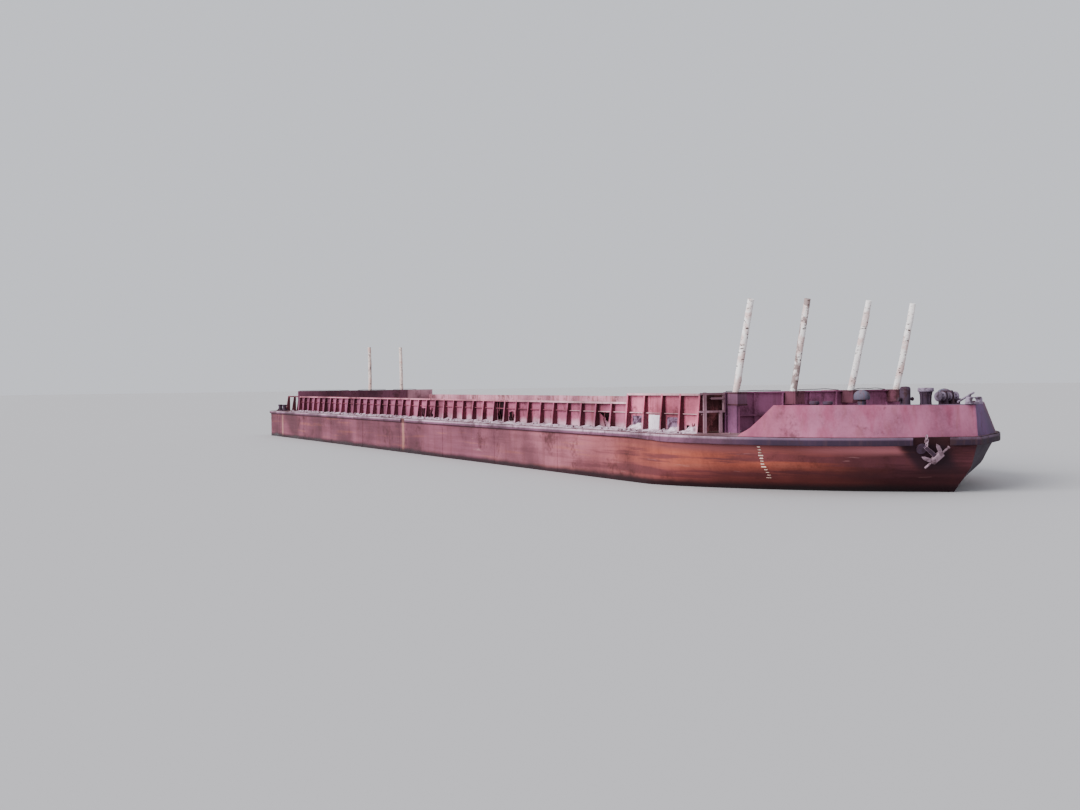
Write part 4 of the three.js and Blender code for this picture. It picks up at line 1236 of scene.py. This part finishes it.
class BARGE_OT_bulkheads(bpy.types.Operator):
    """Paint on the bulkheads and aft frames, rims on the stake pockets, and the broken fore frame"""
    bl_idname = "barge.bulkheads"
    bl_label = "Bulkheads and pockets"

    # Finish of the CAD nodes that are painted here, besides the other stake pockets
    LOOKS = {
        "bulkhead_fore": "bulkhead", "bulkhead_aft": "aft_plate", "open_frame_aft_starboard": "bracket",
        "open_frame_aft_port": "bracket", "stake_pocket_fore_1": "lit_pocket",
    }

    def execute(self, context):
        pockets = sorted(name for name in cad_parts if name.startswith("stake_pocket"))
        for name, look in {**dict.fromkeys(pockets, "pocket"), **self.LOOKS}.items():
            repaint(name, look)
        self.pocket_rims(pockets)
        self.broken_frame()
        self.dressing("fore", WALL_FORE, 1, -3.99)
        self.dressing("aft", WALL_AFT, -1, -5.09)
        return {"FINISHED"}

    def pocket_rims(self, pockets):
        """Flat bars round each pocket, at its rim and its foot."""
        shape = Shape()
        bar, tall = 0.014, 0.05
        for name in pockets:
            low, high = (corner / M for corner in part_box(name))
            fore = low.x > 0
            x0, x1 = (low.x, high.x + bar) if fore else (low.x - bar, high.x)
            front = (x1 - bar, x1) if fore else (x0, x0 + bar)
            for z in (high.z - 0.06, low.z + 0.01):
                for y in (low.y - bar, high.y):
                    shape.box((x0, y, z), (x1, y + bar, z + tall))
                shape.box((front[0], low.y, z), (front[1], high.y, z + tall))
        shape.piece("stake_pocket_rims", "bulkhead_paint", "pocket", bevel=0.003)

    def broken_frame(self):
        """What is left of the fore bulkhead's starboard end: posts, rails, a brace and torn plating."""
        x = WALL_FORE + 0.0006
        shape = Shape()
        for y, top in ((-4.94, DECK + 1.4), (-4.26, DECK + 0.72)):
            shape.box((x + 0.02, y + 0.05, DECK), (x + 0.1, y + 0.08, top))
            shape.box((x + 0.096, y, DECK), (x + 0.12, y + 0.14, top))
        shape.box((x + 0.02, -4.06, DECK + 0.72), (x + 0.11, -3.995, DECK + 1.3))
        for z, y0, y1 in ((0.7, -5.09, -3.995), (1.15, -4.6, -4.06), (1.31, -5.09, -3.995)):
            shape.box((x + 0.02, y0, DECK + z + 0.03), (x + 0.1, y1, DECK + z + 0.05))
            shape.box((x + 0.1, y0, DECK + z), (x + 0.119, y1, DECK + z + 0.075))
        # The posts and rails carry painted light on their fore faces
        shape.piece("broken_frame_bars", "wall_paint", "frame", nodes=["open_frame_fore_starboard"],
                    bevel=0.004)
        brace = []
        for turn in [0.5 * pi * k / 10 for k in range(11)]:
            y = -3.8 - 0.3 * cos(turn) ** 0.8
            brace.append((x + 0.06, min(y, -4.02), DECK + 0.12 + 0.58 * sin(turn)))
        sweep("broken_frame_brace", [brace], 0.05, 0.07, "dark_plate", 0.006, 0.006)
        torn = Shape()
        y0, y1 = -4.79, -3.9
        for seed, z0, z1 in ((3.1, 0.02, 0.72), (8.3, 0.74, 1.36)):
            def spot(j, k):
                y, z = y0 + (y1 - y0) * k / 16, z0 + (z1 - z0) * j / 12
                fold = 0.015 * sin(14 * y + seed) + 0.025 * wave(y, z, seed, 0.25, 3.0)
                return x - 0.09 + fold, y, DECK + 0.03 + z * 0.96

            torn.sheet(lattice(12, 16, spot), (-0.014, 0, 0))
        torn.piece("broken_frame_plating", "wall_paint", "torn_inside", "torn_inside", smooth=40, weld=False)

    def dressing(self, label, x, out, y0):
        """Weld seams on the outer face of a bulkhead, and the bent rod along its top."""
        paths = []
        for y in [y0 + 0.6 + 1.3 * k for k in range(8)]:
            if y < 5.0:
                paths.append([(x + out * 0.047, y, DECK + 0.02 + 0.13 * k) for k in range(4)])
        sweep(f"bulkhead_{label}_seams", paths, 0.03, 0.014, "bulkhead", 0.003, 0.003, 9.0)
        rods = []
        for low, high, lift in ((y0 + 0.1, -1.4, 0.03), (-0.7, 1.4, 0.05), (2.0, 3.8, 0.035)):
            rod = []
            for k in range(25):
                y = low + (high - low) * k / 24
                sag = lift * sin(pi * k / 24) + 0.03 * wave(y, x, 0, 0.5, 4.0)
                rod.append((x + out * 0.02, y, DECK + 1.4 + 0.012 + max(0.0, sag)))
            rods.append(rod)
        sweep(f"bulkhead_{label}_top_rod", rods, 0.03, 0.025, "gear", 0.008, 0.004, 8.0)


class BARGE_OT_stakes(bpy.types.Operator):
    """Timber stakes: uneven peeled trunks in their pockets"""
    bl_idname = "barge.stakes"
    bl_label = "Timber stakes"

    # Node, place across, lean in degrees, length and finish
    ROWS = (
        ("stake_fore_1", -3.68, 14.6, 3.66, "timber"),
        ("stake_fore_2", -1.06, 13.1, 3.735, "timber_barked"),
        ("stake_fore_3", 1.72, 15.9, 3.768, "timber"),
        ("stake_fore_4", 4.08, 14.7, 3.71, "timber"),
        ("stake_aft_1", 0.3, 0.0, 3.53, "timber_aft"),
        ("stake_aft_2", 2.75, -1.7, 3.53, "timber_aft"),
    )

    def execute(self, context):
        for name, y, lean, length, look in self.ROWS:
            angle = radians(lean)
            x = 20.909 if "fore" in name else WALL_AFT - 0.29
            lift = 0.12 * abs(sin(angle))
            self.trunk(name, Vector((x, y, DECK + 0.972 + lift)), angle, length, look)
        return {"FINISHED"}

    def trunk(self, name, foot, angle, length, look):
        """An uneven trunk with knots and a slight bow."""
        seed = sum(map(ord, name)) * 0.37
        axis = Vector((sin(angle), 0, cos(angle)))
        flat = Vector((cos(angle), 0, -sin(angle)))
        knots = [(random.Random(int(seed * 10) + k).uniform(0.12, 0.95), 2.4 * k + seed) for k in range(9)]
        rings = []
        for share in [k / 70 for k in range(71)]:
            bow = 0.028 * sin(pi * share) + 0.012 * wave(share * 3, seed, 0, 0.6)
            centre = foot + axis * length * share + flat * bow * sin(seed) + Vector((0, bow * cos(seed), 0))
            thick = 0.127 - 0.012 * share
            ring = []
            for turn in turns(22):
                c, s = cos(turn), sin(turn)
                r = thick * (0.96 + 0.09 * wave(c, share * 5, s, 0.9, seed))
                r += 0.004 * wave(c * 3, share * 40, s * 3, 0.7, seed)
                for height, side in knots:
                    round_by = (turn - side + pi) % (2 * pi) - pi
                    r += 0.014 * exp(-((share - height) * length / 0.05) ** 2 - round_by ** 2 * 4)
                ring.append(centre + flat * r * c + Vector((0, r * s, 0)))
            rings.append(ring)
        shape = Shape()
        shape.skin(rings)
        shape.piece(name + "_trunk", "timber", look, nodes=[name], smooth=50)


class BARGE_OT_bulwark(bpy.types.Operator):
    """Bow bulwark: leaning plate with dents, a top bar and brackets inside"""
    bl_idname = "barge.bulwark"
    bl_label = "Bow bulwark"

    THICK = 0.045

    def line(self, share, inset):
        """Bulwark outline at a share of its height, from its starboard end to its port end."""
        grown = -(0.05 + 0.34 * share + inset)
        ring = half_ring(LEVELS[-1], grown, side_steps=60, bow_steps=60, stem=STEM + 0.25 * share)[14:]
        start = 23.1 + float(np.interp(share, (0.04, 0.25, 0.65, 1.01), (0.0, 0.3, 0.57, 0.78)))
        end = ring[-1][0]
        z = DECK + 0.005 + 0.99 * share
        steps = 70
        half = []
        for k in range(steps + 1):
            x = end - (end - start) * (1 - k / steps) ** 2
            half.append((x, reading(ring, x), z))
        return half + mirrored(reversed(half[:-1]))

    def dented(self, points):
        """A line of the plate with its dents, which sink inward."""
        out = []
        for x, y, z in points:
            sink = 0.02 * max(0.0, wave(x, y, z, 0.8, 5.0)) * sin(pi * clamp(z - DECK))
            inward = Vector((20.0 - x, -y * 1.4, 0)).normalized()
            out.append(Vector((x, y, z)) + inward * sink)
        return out

    def execute(self, context):
        rows = 10
        shape = Shape()
        outer, inner = (
            shape.grid([self.dented(self.line(k / rows, inset)) for k in range(rows + 1)], flip=inset > 0)
            for inset in (0.0, self.THICK))
        for a in range(len(outer[0]) - 1):
            b = a + 1
            shape.face((outer[-1][a], outer[-1][b], inner[-1][b], inner[-1][a]))
            shape.face((outer[0][b], outer[0][a], inner[0][a], inner[0][b]))
        for low in range(rows):
            for end in (0, -1):
                quad = (outer[low][end], outer[low + 1][end], inner[low + 1][end], inner[low][end])
                shape.face(quad if end else reversed(quad))
        shape.piece("bulwark_plate", "wall_paint", "bulwark", nodes=["bow_bulwark"], smooth=35)
        bar = [(x, y, DECK + 0.98) for x, y, _ in self.line(1.0, 0.025)]
        sweep("bulwark_top_bar", [bar], 0.06, 0.03, "rail", 0.01, 0.006)
        ribs = Shape()
        feet = list(map(Vector, self.line(0.0, self.THICK)))
        heads = list(map(Vector, self.line(0.9, self.THICK)))
        for k in range(4, len(feet) - 4, 8):
            foot, head = feet[k], heads[k]
            ahead = (feet[k + 1] - feet[k - 1]).normalized()
            inward = Vector((-ahead.y, ahead.x, 0))
            web = [foot, foot + inward * 0.38, head + inward * 0.06, head]
            ribs.prism([point - ahead * 0.012 for point in web], ahead * 0.024)
        ribs.piece("bulwark_brackets", "wall_paint", "bulwark", bevel=0.004)
        return {"FINISHED"}


# Deck gear

def bolts_round(shape, centre, radius, count, size=0.02, height=0.02):
    x, y, z = centre
    profile = [(size, 0), (size, height * 0.8), (size * 0.7, height)]
    for angle in turns(count, 0.5):
        shape.turned(profile, (x + radius * cos(angle), y + radius * sin(angle), z), "Z", 6)


def blades(shape, x, z, count, thick, outline):
    """Upright plates round a centre, with an outline of radius and height."""
    for angle in turns(count):
        c, s = cos(angle), sin(angle)
        points = [(x + c * r + s * thick / 2, s * r - c * thick / 2, z + h) for r, h in outline]
        shape.prism(points, (-s * thick, c * thick, 0))


class BARGE_OT_capstan(bpy.types.Operator):
    """Capstan: bolted pedestal, and a drum with whelps and a head"""
    bl_idname = "barge.capstan"
    bl_label = "Capstan"

    def execute(self, context):
        x, low = 26.0, DECK + 0.75
        base = Shape()
        base.turned([
            (0.3, 0), (0.3, 0.045), (0.27, 0.05), (0.215, 0.11), (0.2, 0.2), (0.19, 0.5), (0.2, 0.66),
            (0.2, 0.74), (0.058, 0.74), (0.058, 0.99)], (x, 0, DECK))
        bolts_round(base, (x, 0, DECK + 0.045), 0.26, 8)
        blades(base, x, DECK, 6, 0.028, [(0.19, 0.05), (0.27, 0.05), (0.2, 0.42), (0.18, 0.42)])
        base.piece("capstan_pedestal_casting", "gear_paint", "gear", nodes=["capstan_pedestal"], smooth=40)
        drum = Shape()
        drum.turned([
            (0.0612, 0.3), (0.0612, 0.0), (0.235, 0), (0.24, 0.01), (0.24, 0.05), (0.17, 0.11),
            (0.15, 0.24), (0.15, 0.36), (0.175, 0.56), (0.2, 0.61)], (x, 0, low))
        drum.turned([
            (0.2, 0.6), (0.245, 0.63), (0.25, 0.645), (0.25, 0.725), (0.235, 0.745), (0.1, 0.748),
            (0.09, 0.75)], (x, 0, low), mark=1)
        blades(drum, x, low, 8, 0.04, [
            (0.14, 0.1), (0.2, 0.1), (0.175, 0.3), (0.185, 0.5), (0.21, 0.6), (0.14, 0.6)])
        # The drum's head is in the pale gear paint, a painted highlight on its top
        drum.piece("capstan_drum_casting", "gear_paint", "gear", "pale_gear", nodes=["capstan_drum"],
                   body="capstan", smooth=40)
        return {"FINISHED"}


class BARGE_OT_windlass(bpy.types.Operator):
    """Hand windlass: cheeks on a bed, and a shaft with drum, ratchet and two heads"""
    bl_idname = "barge.windlass"
    bl_label = "Windlass"

    def execute(self, context):
        x, y, z = 25.9, 1.1, DECK + 1.2
        stand = Shape()
        stand.box((x - 0.4, y - 0.3, DECK), (x + 0.4, y + 0.3, DECK + 0.03))
        for side in (-0.27, 0.27):
            stand.box((x - 0.38, y + side - 0.03, DECK + 0.03), (x + 0.38, y + side + 0.03, DECK + 0.08))
        bolt = [(0.025, 0), (0.025, 0.02), (0.015, 0.03)]
        for hand in (-1, 1):
            self.cheek(stand, x, y + hand * 0.15 - 0.03, z)
            for side in (-0.28, 0.28):
                stand.turned(bolt, (x + side, y + hand * 0.24, DECK + 0.03), "Z", 6)
        stand.turned([(0.04, -0.15), (0.04, 0.15)], (x, y, DECK + 0.55), "Y", 16)
        stand.piece("windlass_stand", "gear_paint", "gear", nodes=["windlass_frame"], smooth=40)
        # Half of the shaft's profile, from its middle outward
        half = [
            (0.11, 0.07), (0.15, 0.07), (0.15, 0.1), (0.05, 0.1), (0.05, 0.2), (0.16, 0.2), (0.16, 0.225),
            (0.11, 0.27), (0.098, 0.305), (0.11, 0.34), (0.16, 0.385), (0.16, 0.41), (0.155, 0.42),
            (0.06, 0.42)]
        shaft = Shape()
        shaft.turned([(r, -out) for r, out in reversed(half)] + half, (x, y, z), "Y")
        for end in (-1, 1):
            base = Vector((x, y + end * 0.235, z))
            for angle in turns(8):
                spot = Vector((0.125 * cos(angle), 0, 0.125 * sin(angle)))
                turn = Matrix.Rotation(-angle, 3, "Y")
                tooth = [(-0.012, -0.02), (0.012, -0.02), (0.012, 0.02), (-0.012, 0.02)]
                points = [base + spot + turn @ Vector((a, 0, b)) for a, b in tooth]
                shaft.prism(points, (0, end * 0.15, 0))
        shaft.piece("windlass_shaft_casting", "gear_paint", "pale_gear", nodes=["windlass_shaft"],
                    body="windlass", smooth=40)
        return {"FINISHED"}

    def cheek(self, shape, x, y0, z):
        """One cheek plate round the shaft's bore, within its top, its foot and its sloping sides."""
        bore, side = 0.0512, 0.21 / 1.36
        inner, outer = [], []
        for angle in turns(32):
            c, s = cos(angle), sin(angle)
            reach = (0.11 + side * 0.2) / max(1e-6, abs(c) + side * s)
            if s > 1e-6:
                reach = min(reach, 0.2 / s)
            if s < -1e-6:
                reach = min(reach, (z - DECK - 0.04) / -s)
            inner.append((x + bore * c, z + bore * s))
            outer.append((x + reach * c, z + reach * s))
        y1 = y0 + 0.06
        rings = ((y0, inner), (y0, outer), (y1, outer), (y1, inner), (y0, inner))
        shape.grid([[(px, y, pz) for px, pz in ring] for y, ring in rings], closed=True)


class BARGE_OT_deck_gear(bpy.types.Operator):
    """Bollards, towing post, ventilators and stem fairlead"""
    bl_idname = "barge.deck_gear"
    bl_label = "Deck gear"

    def execute(self, context):
        for label, x, y, height, reach in (("fore", 24.4, 3.0, 1.1, 0.3), ("aft", -26.9, 5.5, 0.44, 0.5)):
            self.bollards(f"bollards_{label}_starboard", x, -y, height, reach)
            self.bollards(f"bollards_{label}_port", x, y, height, reach)
        self.towing_post()
        self.vent("ventilator_fore_starboard", 24.7, -1.5)
        self.vent("ventilator_fore_port", 24.7, 2.4)
        self.fairlead()
        return {"FINISHED"}

    def bollards(self, name, x, y, height, reach):
        shape = Shape()
        foot = reach + 0.25
        shape.box((x - foot, y - 0.24, DECK), (x + foot, y + 0.24, DECK + 0.04))
        for post in (x - reach, x + reach):
            shape.turned([
                (0.15, 0.04), (0.135, 0.06), (0.13, 0.09), (0.13, height - 0.11), (0.16, height - 0.09),
                (0.163, height - 0.05), (0.155, height - 0.01), (0.1, height), (0.02, height)],
                (post, y, DECK))
            for side in (-1, 1):
                web = [(0.13, 0.04), (0.22, 0.04), (0.13, 0.18)]
                shape.prism([(post - 0.01, y + side * py, DECK + pz) for py, pz in web], (0.02, 0, 0))
        bolt = [(0.022, 0), (0.022, 0.02), (0.012, 0.028)]
        for bolt_x in (x - foot + 0.07, x, x + foot - 0.07):
            for bolt_y in (-0.18, 0.18):
                shape.turned(bolt, (bolt_x, y + bolt_y, DECK + 0.04), "Z", 6)
        shape.piece(name + "_casting", "gear_paint", "gear", nodes=[name], smooth=40)

    def towing_post(self):
        x, y = 26.1, -1.05
        shape = Shape()
        shape.turned([
            (0.26, 0), (0.26, 0.04), (0.2, 0.05), (0.18, 0.09), (0.165, 0.14), (0.165, 1.42), (0.16, 1.5),
            (0.13, 1.54), (0.05, 1.55)], (x, y, DECK))
        half = [(0.045, 0.3), (0.062, 0.31), (0.062, 0.335), (0.05, 0.34)]
        shape.turned([(r, -out) for r, out in reversed(half)] + half, (x, y, DECK + 1.15), "Y", 20)
        bolts_round(shape, (x, y, DECK + 0.04), 0.23, 8)
        shape.piece("towing_post_casting", "gear_paint", "gear", nodes=["towing_post"], smooth=40)

    def vent(self, name, x, y):
        shape = Shape()
        shape.turned([
            (0.2, 0), (0.2, 0.025), (0.15, 0.035), (0.13, 0.06), (0.13, 1.0), (0.14, 1.01), (0.14, 1.05),
            (0.13, 1.06), (0.13, 1.12)], (x, y, DECK))
        shape.turned([
            (0.13, 1.12), (0.25, 1.13), (0.26, 1.15), (0.26, 1.25), (0.245, 1.31), (0.2, 1.375),
            (0.13, 1.42), (0.05, 1.445), (0.01, 1.45)], (x, y, DECK), mark=1)
        bolts_round(shape, (x, y, DECK + 0.025), 0.175, 6, 0.015, 0.015)
        shape.piece(name + "_cowl", "vent_paint", "vent_body", "vent", nodes=[name], smooth=40)

    def fairlead(self):
        rim = NOSE - STEM + 0.11
        base = DECK + 1.0006
        shape = Shape()
        shape.box((rim - 0.16, -0.3, base), (rim + 0.06, 0.3, base + 0.045))
        horn = [(0.13, 0.04), (0.3, 0.04), (0.29, 0.16), (0.25, 0.22), (0.12, 0.21), (0.08, 0.19),
                (0.15, 0.15), (0.17, 0.1)]
        for hand in (-1, 1):
            points = [(rim - 0.13, hand * py, base + pz) for py, pz in horn[::hand]]
            shape.prism(points, (0.16, 0, 0))
        shape.piece("stem_fairlead_casting", "rail_paint", "pale_gear", nodes=["stem_fairlead"],
                    smooth=40, bevel=0.008)
        x = 27.55
        bar = [(x, -0.35 + 0.09 * k, DECK + 1.06 + 0.035 * k) for k in range(9)]
        prop = [(x, 0.2, DECK + 0.9), (x, 0.2, DECK + 1.27)]
        sweep("stem_mooring_bar", [bar, prop], 0.06, 0.05, "pale_gear", 0.012, 0.004, 8.0)


class BARGE_OT_hatches(bpy.types.Operator):
    """Deck hatches: coamings, and stiffened lids that open"""
    bl_idname = "barge.hatches"
    bl_label = "Deck hatches"

    def execute(self, context):
        for label, x, y in (("fore_hatch", 23.0, 0.6), ("aft_hatch", -26.3, 0.0)):
            self.coaming(label, x, y)
            self.lid(label, x, y)
        return {"FINISHED"}

    def coaming(self, label, x, y):
        half, inner, top = 0.4, 0.37, DECK + 0.345
        shape = Shape()
        for x0, x1, y0, y1 in (
                (-half, half, -half, -inner), (-half, half, inner, half),
                (-half, -inner, -inner, inner), (inner, half, -inner, inner)):
            shape.box((x + x0, y + y0, DECK), (x + x1, y + y1, top))
        shape.box((x - inner, y - inner, DECK), (x + inner, y + inner, DECK + 0.018))
        shape.piece(label + "_coaming_plates", "gear_paint", "gear", nodes=[label + "_coaming"], bevel=0.004)

    def lid(self, label, x, y):
        """A plate with two stiffeners, its hinge knuckles, and a grip on two studs."""
        low = DECK + 0.352
        reach, stiff, grip = 0.435, 0.385, x + 0.25
        shape = Shape()
        shape.box((x - reach, y - reach, low), (x + reach, y + reach, low + 0.03))
        for side in (y - 0.2, y + 0.2):
            shape.box((x - stiff, side - 0.012, low + 0.03), (x + stiff, side + 0.012, low + 0.045))
        for side in (y - 0.25, y + 0.25):
            shape.turned([(0.02, -0.06), (0.02, 0.06)], (x - reach + 0.01, side, low + 0.028), "Y", 14)
        shape.turned([(0.012, -0.08), (0.012, 0.08)], (grip, y, low + 0.075), "Y", 12)
        for side in (y - 0.07, y + 0.07):
            shape.turned([(0.012, 0), (0.012, 0.055)], (grip, side, low + 0.025), "Z", 12)
        shape.piece(label + "_lid_plate", "bulkhead_paint", "bulkhead", nodes=[label + "_lid"], body=label,
                    smooth=40, bevel=0.004)


class BARGE_OT_anchor(bpy.types.Operator):
    """Anchor hauled up to its hawse lip on the starboard bow, with its chain over the deck edge"""
    bl_idname = "barge.anchor"
    bl_label = "Anchor"

    def execute(self, context):
        repaint("hawse_lip_starboard", "gear")
        lay = self.facet()
        swing = Matrix.Translation((0, 0.1, 0.08)) @ Matrix.Rotation(0.85, 4, "X")
        low, top, back = -0.51, 0.05, 0.052
        shape = Shape()
        shank = [(-0.07, low), (0.07, low), (0.055, top), (-0.055, top)]
        crown = [(-0.2, low - 0.1), (0.2, low - 0.1), (0.23, low - 0.02), (0.13, low + 0.09),
                 (-0.13, low + 0.09), (-0.23, low - 0.02)]
        shape.prism([(back, y, z) for y, z in shank], (0.1, 0, 0), 1)
        shape.prism([(back, y, z) for y, z in crown], (0.14, 0, 0))
        shape.turned([
            (0.02, -0.49), (0.034, -0.47), (0.034, -0.2), (0.042, -0.19), (0.042, 0.19), (0.034, 0.2),
            (0.034, 0.45), (0.05, 0.455), (0.05, 0.49), (0.03, 0.5)], (back + 0.07, 0, low - 0.01), "Y", 14)
        # Each palm stands off the plating, more so above its foot
        palm = [(0.1, -0.03), (0.2, -0.04), (0.27, 0.1), (0.32, 0.27), (0.3, 0.42), (0.22, 0.33),
                (0.15, 0.13)]
        for hand in (-1, 1):
            points = [(back + 0.045 + 0.16 * max(0.0, z), hand * y, low + z) for y, z in palm[::hand]]
            shape.prism(points, (0.05, 0, 0))
        shape.moved(lay @ swing)
        shape.piece("anchor_casting", "gear_paint", "anchor", "gear", nodes=["anchor_starboard"],
                    smooth=40, bevel=0.01)
        self.chain(lay)
        return {"FINISHED"}

    def facet(self):
        """Matrix that lays a piece on the bow's flat facet: X out of the plating, Y to the stem, Z up."""
        low, high = (half_ring(level) for level in LEVELS[-2:])
        stem, corner, under = (Vector(p) for p in (high[-1], high[-11], low[-11]))
        ahead = (stem - corner).normalized()
        out = ahead.cross(corner - under).normalized()
        up = out.cross(ahead)
        middle = (stem + corner) / 2 - up * 0.38 - ahead * 0.5
        return Matrix.Translation(middle) @ Matrix((out, ahead, up)).transposed().to_4x4()

    def chain(self, lay):
        """Three links from the shank's head to the deck edge, every other one turned."""
        links = []
        for n, spot in enumerate(((0.11, 0.1, 0.19), (0.115, 0.075, 0.31), (0.12, 0.05, 0.43))):
            ring = []
            for turn in (*turns(16), 2 * pi):
                out, across = (0.02, 0.04) if n % 2 else (0.04, 0.01)
                offset = Vector((out * cos(turn), across * cos(turn), 0.085 * sin(turn)))
                ring.append(lay @ (Vector(spot) + offset))
            links.append(ring)
        sweep("anchor_chain_links", links, 0.03, 0.03, "anchor", 0.01, 0.002, 9.0)


# Stage

class BARGE_OT_stage(bpy.types.Operator):
    """Pale floor at the waterline, soft light, and the camera"""
    bl_idname = "barge.stage"
    bl_label = "Stage"

    def execute(self, context):
        stage = settings().stage
        net = Paint("stage_floor")
        shade = tuple(value * 0.97 for value in stage.floor)
        net.set(net.shader.inputs["Base Color"], net.mix(net.cloud(0.05, 2.0), stage.floor, shade))
        net.set(net.shader.inputs["Roughness"], 0.7)
        LOOK["stage_floor"] = net.made
        shape = Shape()
        far, z = FLOOR_REACH, WATERLINE
        shape.face(shape.points([(-far, -far, z), (far, -far, z), (far, far, z), (-far, far, z)]))
        shape.build("stage_floor", "stage_floor")
        world = bpy.data.worlds.new("sky")
        context.scene.world = world
        world.use_nodes = True
        back = world.node_tree.nodes["Background"]
        back.inputs["Color"].default_value = SKY_COLOUR
        back.inputs["Strength"].default_value = stage.sky
        light = bpy.data.lights.new("key", "SUN")
        light.energy = stage.sun
        light.angle = radians(SUN_DEGREES)
        link("key", light).rotation_euler = Vector(SUN_FROM).to_track_quat("Z", "Y").to_euler()
        self.camera(context, stage)
        return {"FINISHED"}

    def camera(self, context, stage):
        heading, pitch, roll = map(radians, CAMERA_TURN)
        ahead = Vector((cos(heading), sin(heading), 0))
        right = Vector((sin(heading), -cos(heading), 0))
        up = Vector((0, 0, 1))
        forward = ahead * cos(pitch) - up * sin(pitch)
        above = ahead * sin(pitch) + up * cos(pitch)
        across = right * cos(roll) + above * sin(roll)
        over = above * cos(roll) - right * sin(roll)
        data = bpy.data.cameras.new("photo_camera")
        data.lens = stage.lens
        data.sensor_width = CAMERA_SENSOR
        data.sensor_fit = "HORIZONTAL"
        data.clip_end = CAMERA_FAR
        camera = link("photo_camera", data)
        turn = Matrix((across, over, -forward)).transposed().to_4x4()
        camera.matrix_world = Matrix.Translation(CAMERA_PLACE) @ turn
        context.scene.camera = camera


class BargeSettings(bpy.types.PropertyGroup):
    hull: PointerProperty(type=HullSettings, name="Hull", description="Hull plating")
    walls: PointerProperty(type=WallSettings, name="Walls", description="Cargo walls")
    timber: PointerProperty(type=TimberSettings, name="Timber", description="Timber stakes")
    gear: PointerProperty(type=GearSettings, name="Gear", description="Deck gear")
    stage: PointerProperty(type=StageSettings, name="Stage", description="Floor, light and camera")


OPERATORS = (
    BARGE_OT_hull, BARGE_OT_seams, BARGE_OT_rub_rails, BARGE_OT_cargo_walls, BARGE_OT_floor,
    BARGE_OT_debris, BARGE_OT_bulkheads, BARGE_OT_stakes, BARGE_OT_bulwark, BARGE_OT_capstan,
    BARGE_OT_windlass, BARGE_OT_deck_gear, BARGE_OT_hatches, BARGE_OT_anchor, BARGE_OT_stage,
)


class BARGE_PT_panel(bpy.types.Panel):
    bl_idname = "BARGE_PT_panel"
    bl_label = "Barge"
    bl_space_type = "VIEW_3D"
    bl_region_type = "UI"
    bl_category = "Barge"

    def draw(self, context):
        barge = context.scene.barge
        for part in BargeSettings.__annotations__:
            group = getattr(barge, part)
            box = self.layout.box()
            box.label(text=part.capitalize())
            for name in group.__annotations__:
                box.prop(group, name)
        for operator in OPERATORS:
            self.layout.operator(operator.bl_idname)


CLASSES = (
    HullSettings, WallSettings, TimberSettings, GearSettings, StageSettings, BargeSettings,
    *OPERATORS, BARGE_PT_panel,
)


def register():
    for cls in CLASSES:
        bpy.utils.register_class(cls)
    bpy.types.Scene.barge = PointerProperty(type=BargeSettings)


def unregister():
    del bpy.types.Scene.barge
    for cls in reversed(CLASSES):
        bpy.utils.unregister_class(cls)


def main():
    register()
    make_materials()
    make_sweep_tree()
    make_row_tree()
    make_scatter_tree()
    for operator in OPERATORS:
        group, name = operator.bl_idname.split(".")
        getattr(getattr(bpy.ops, group), name)()


if __name__ == "__main__":
    main()
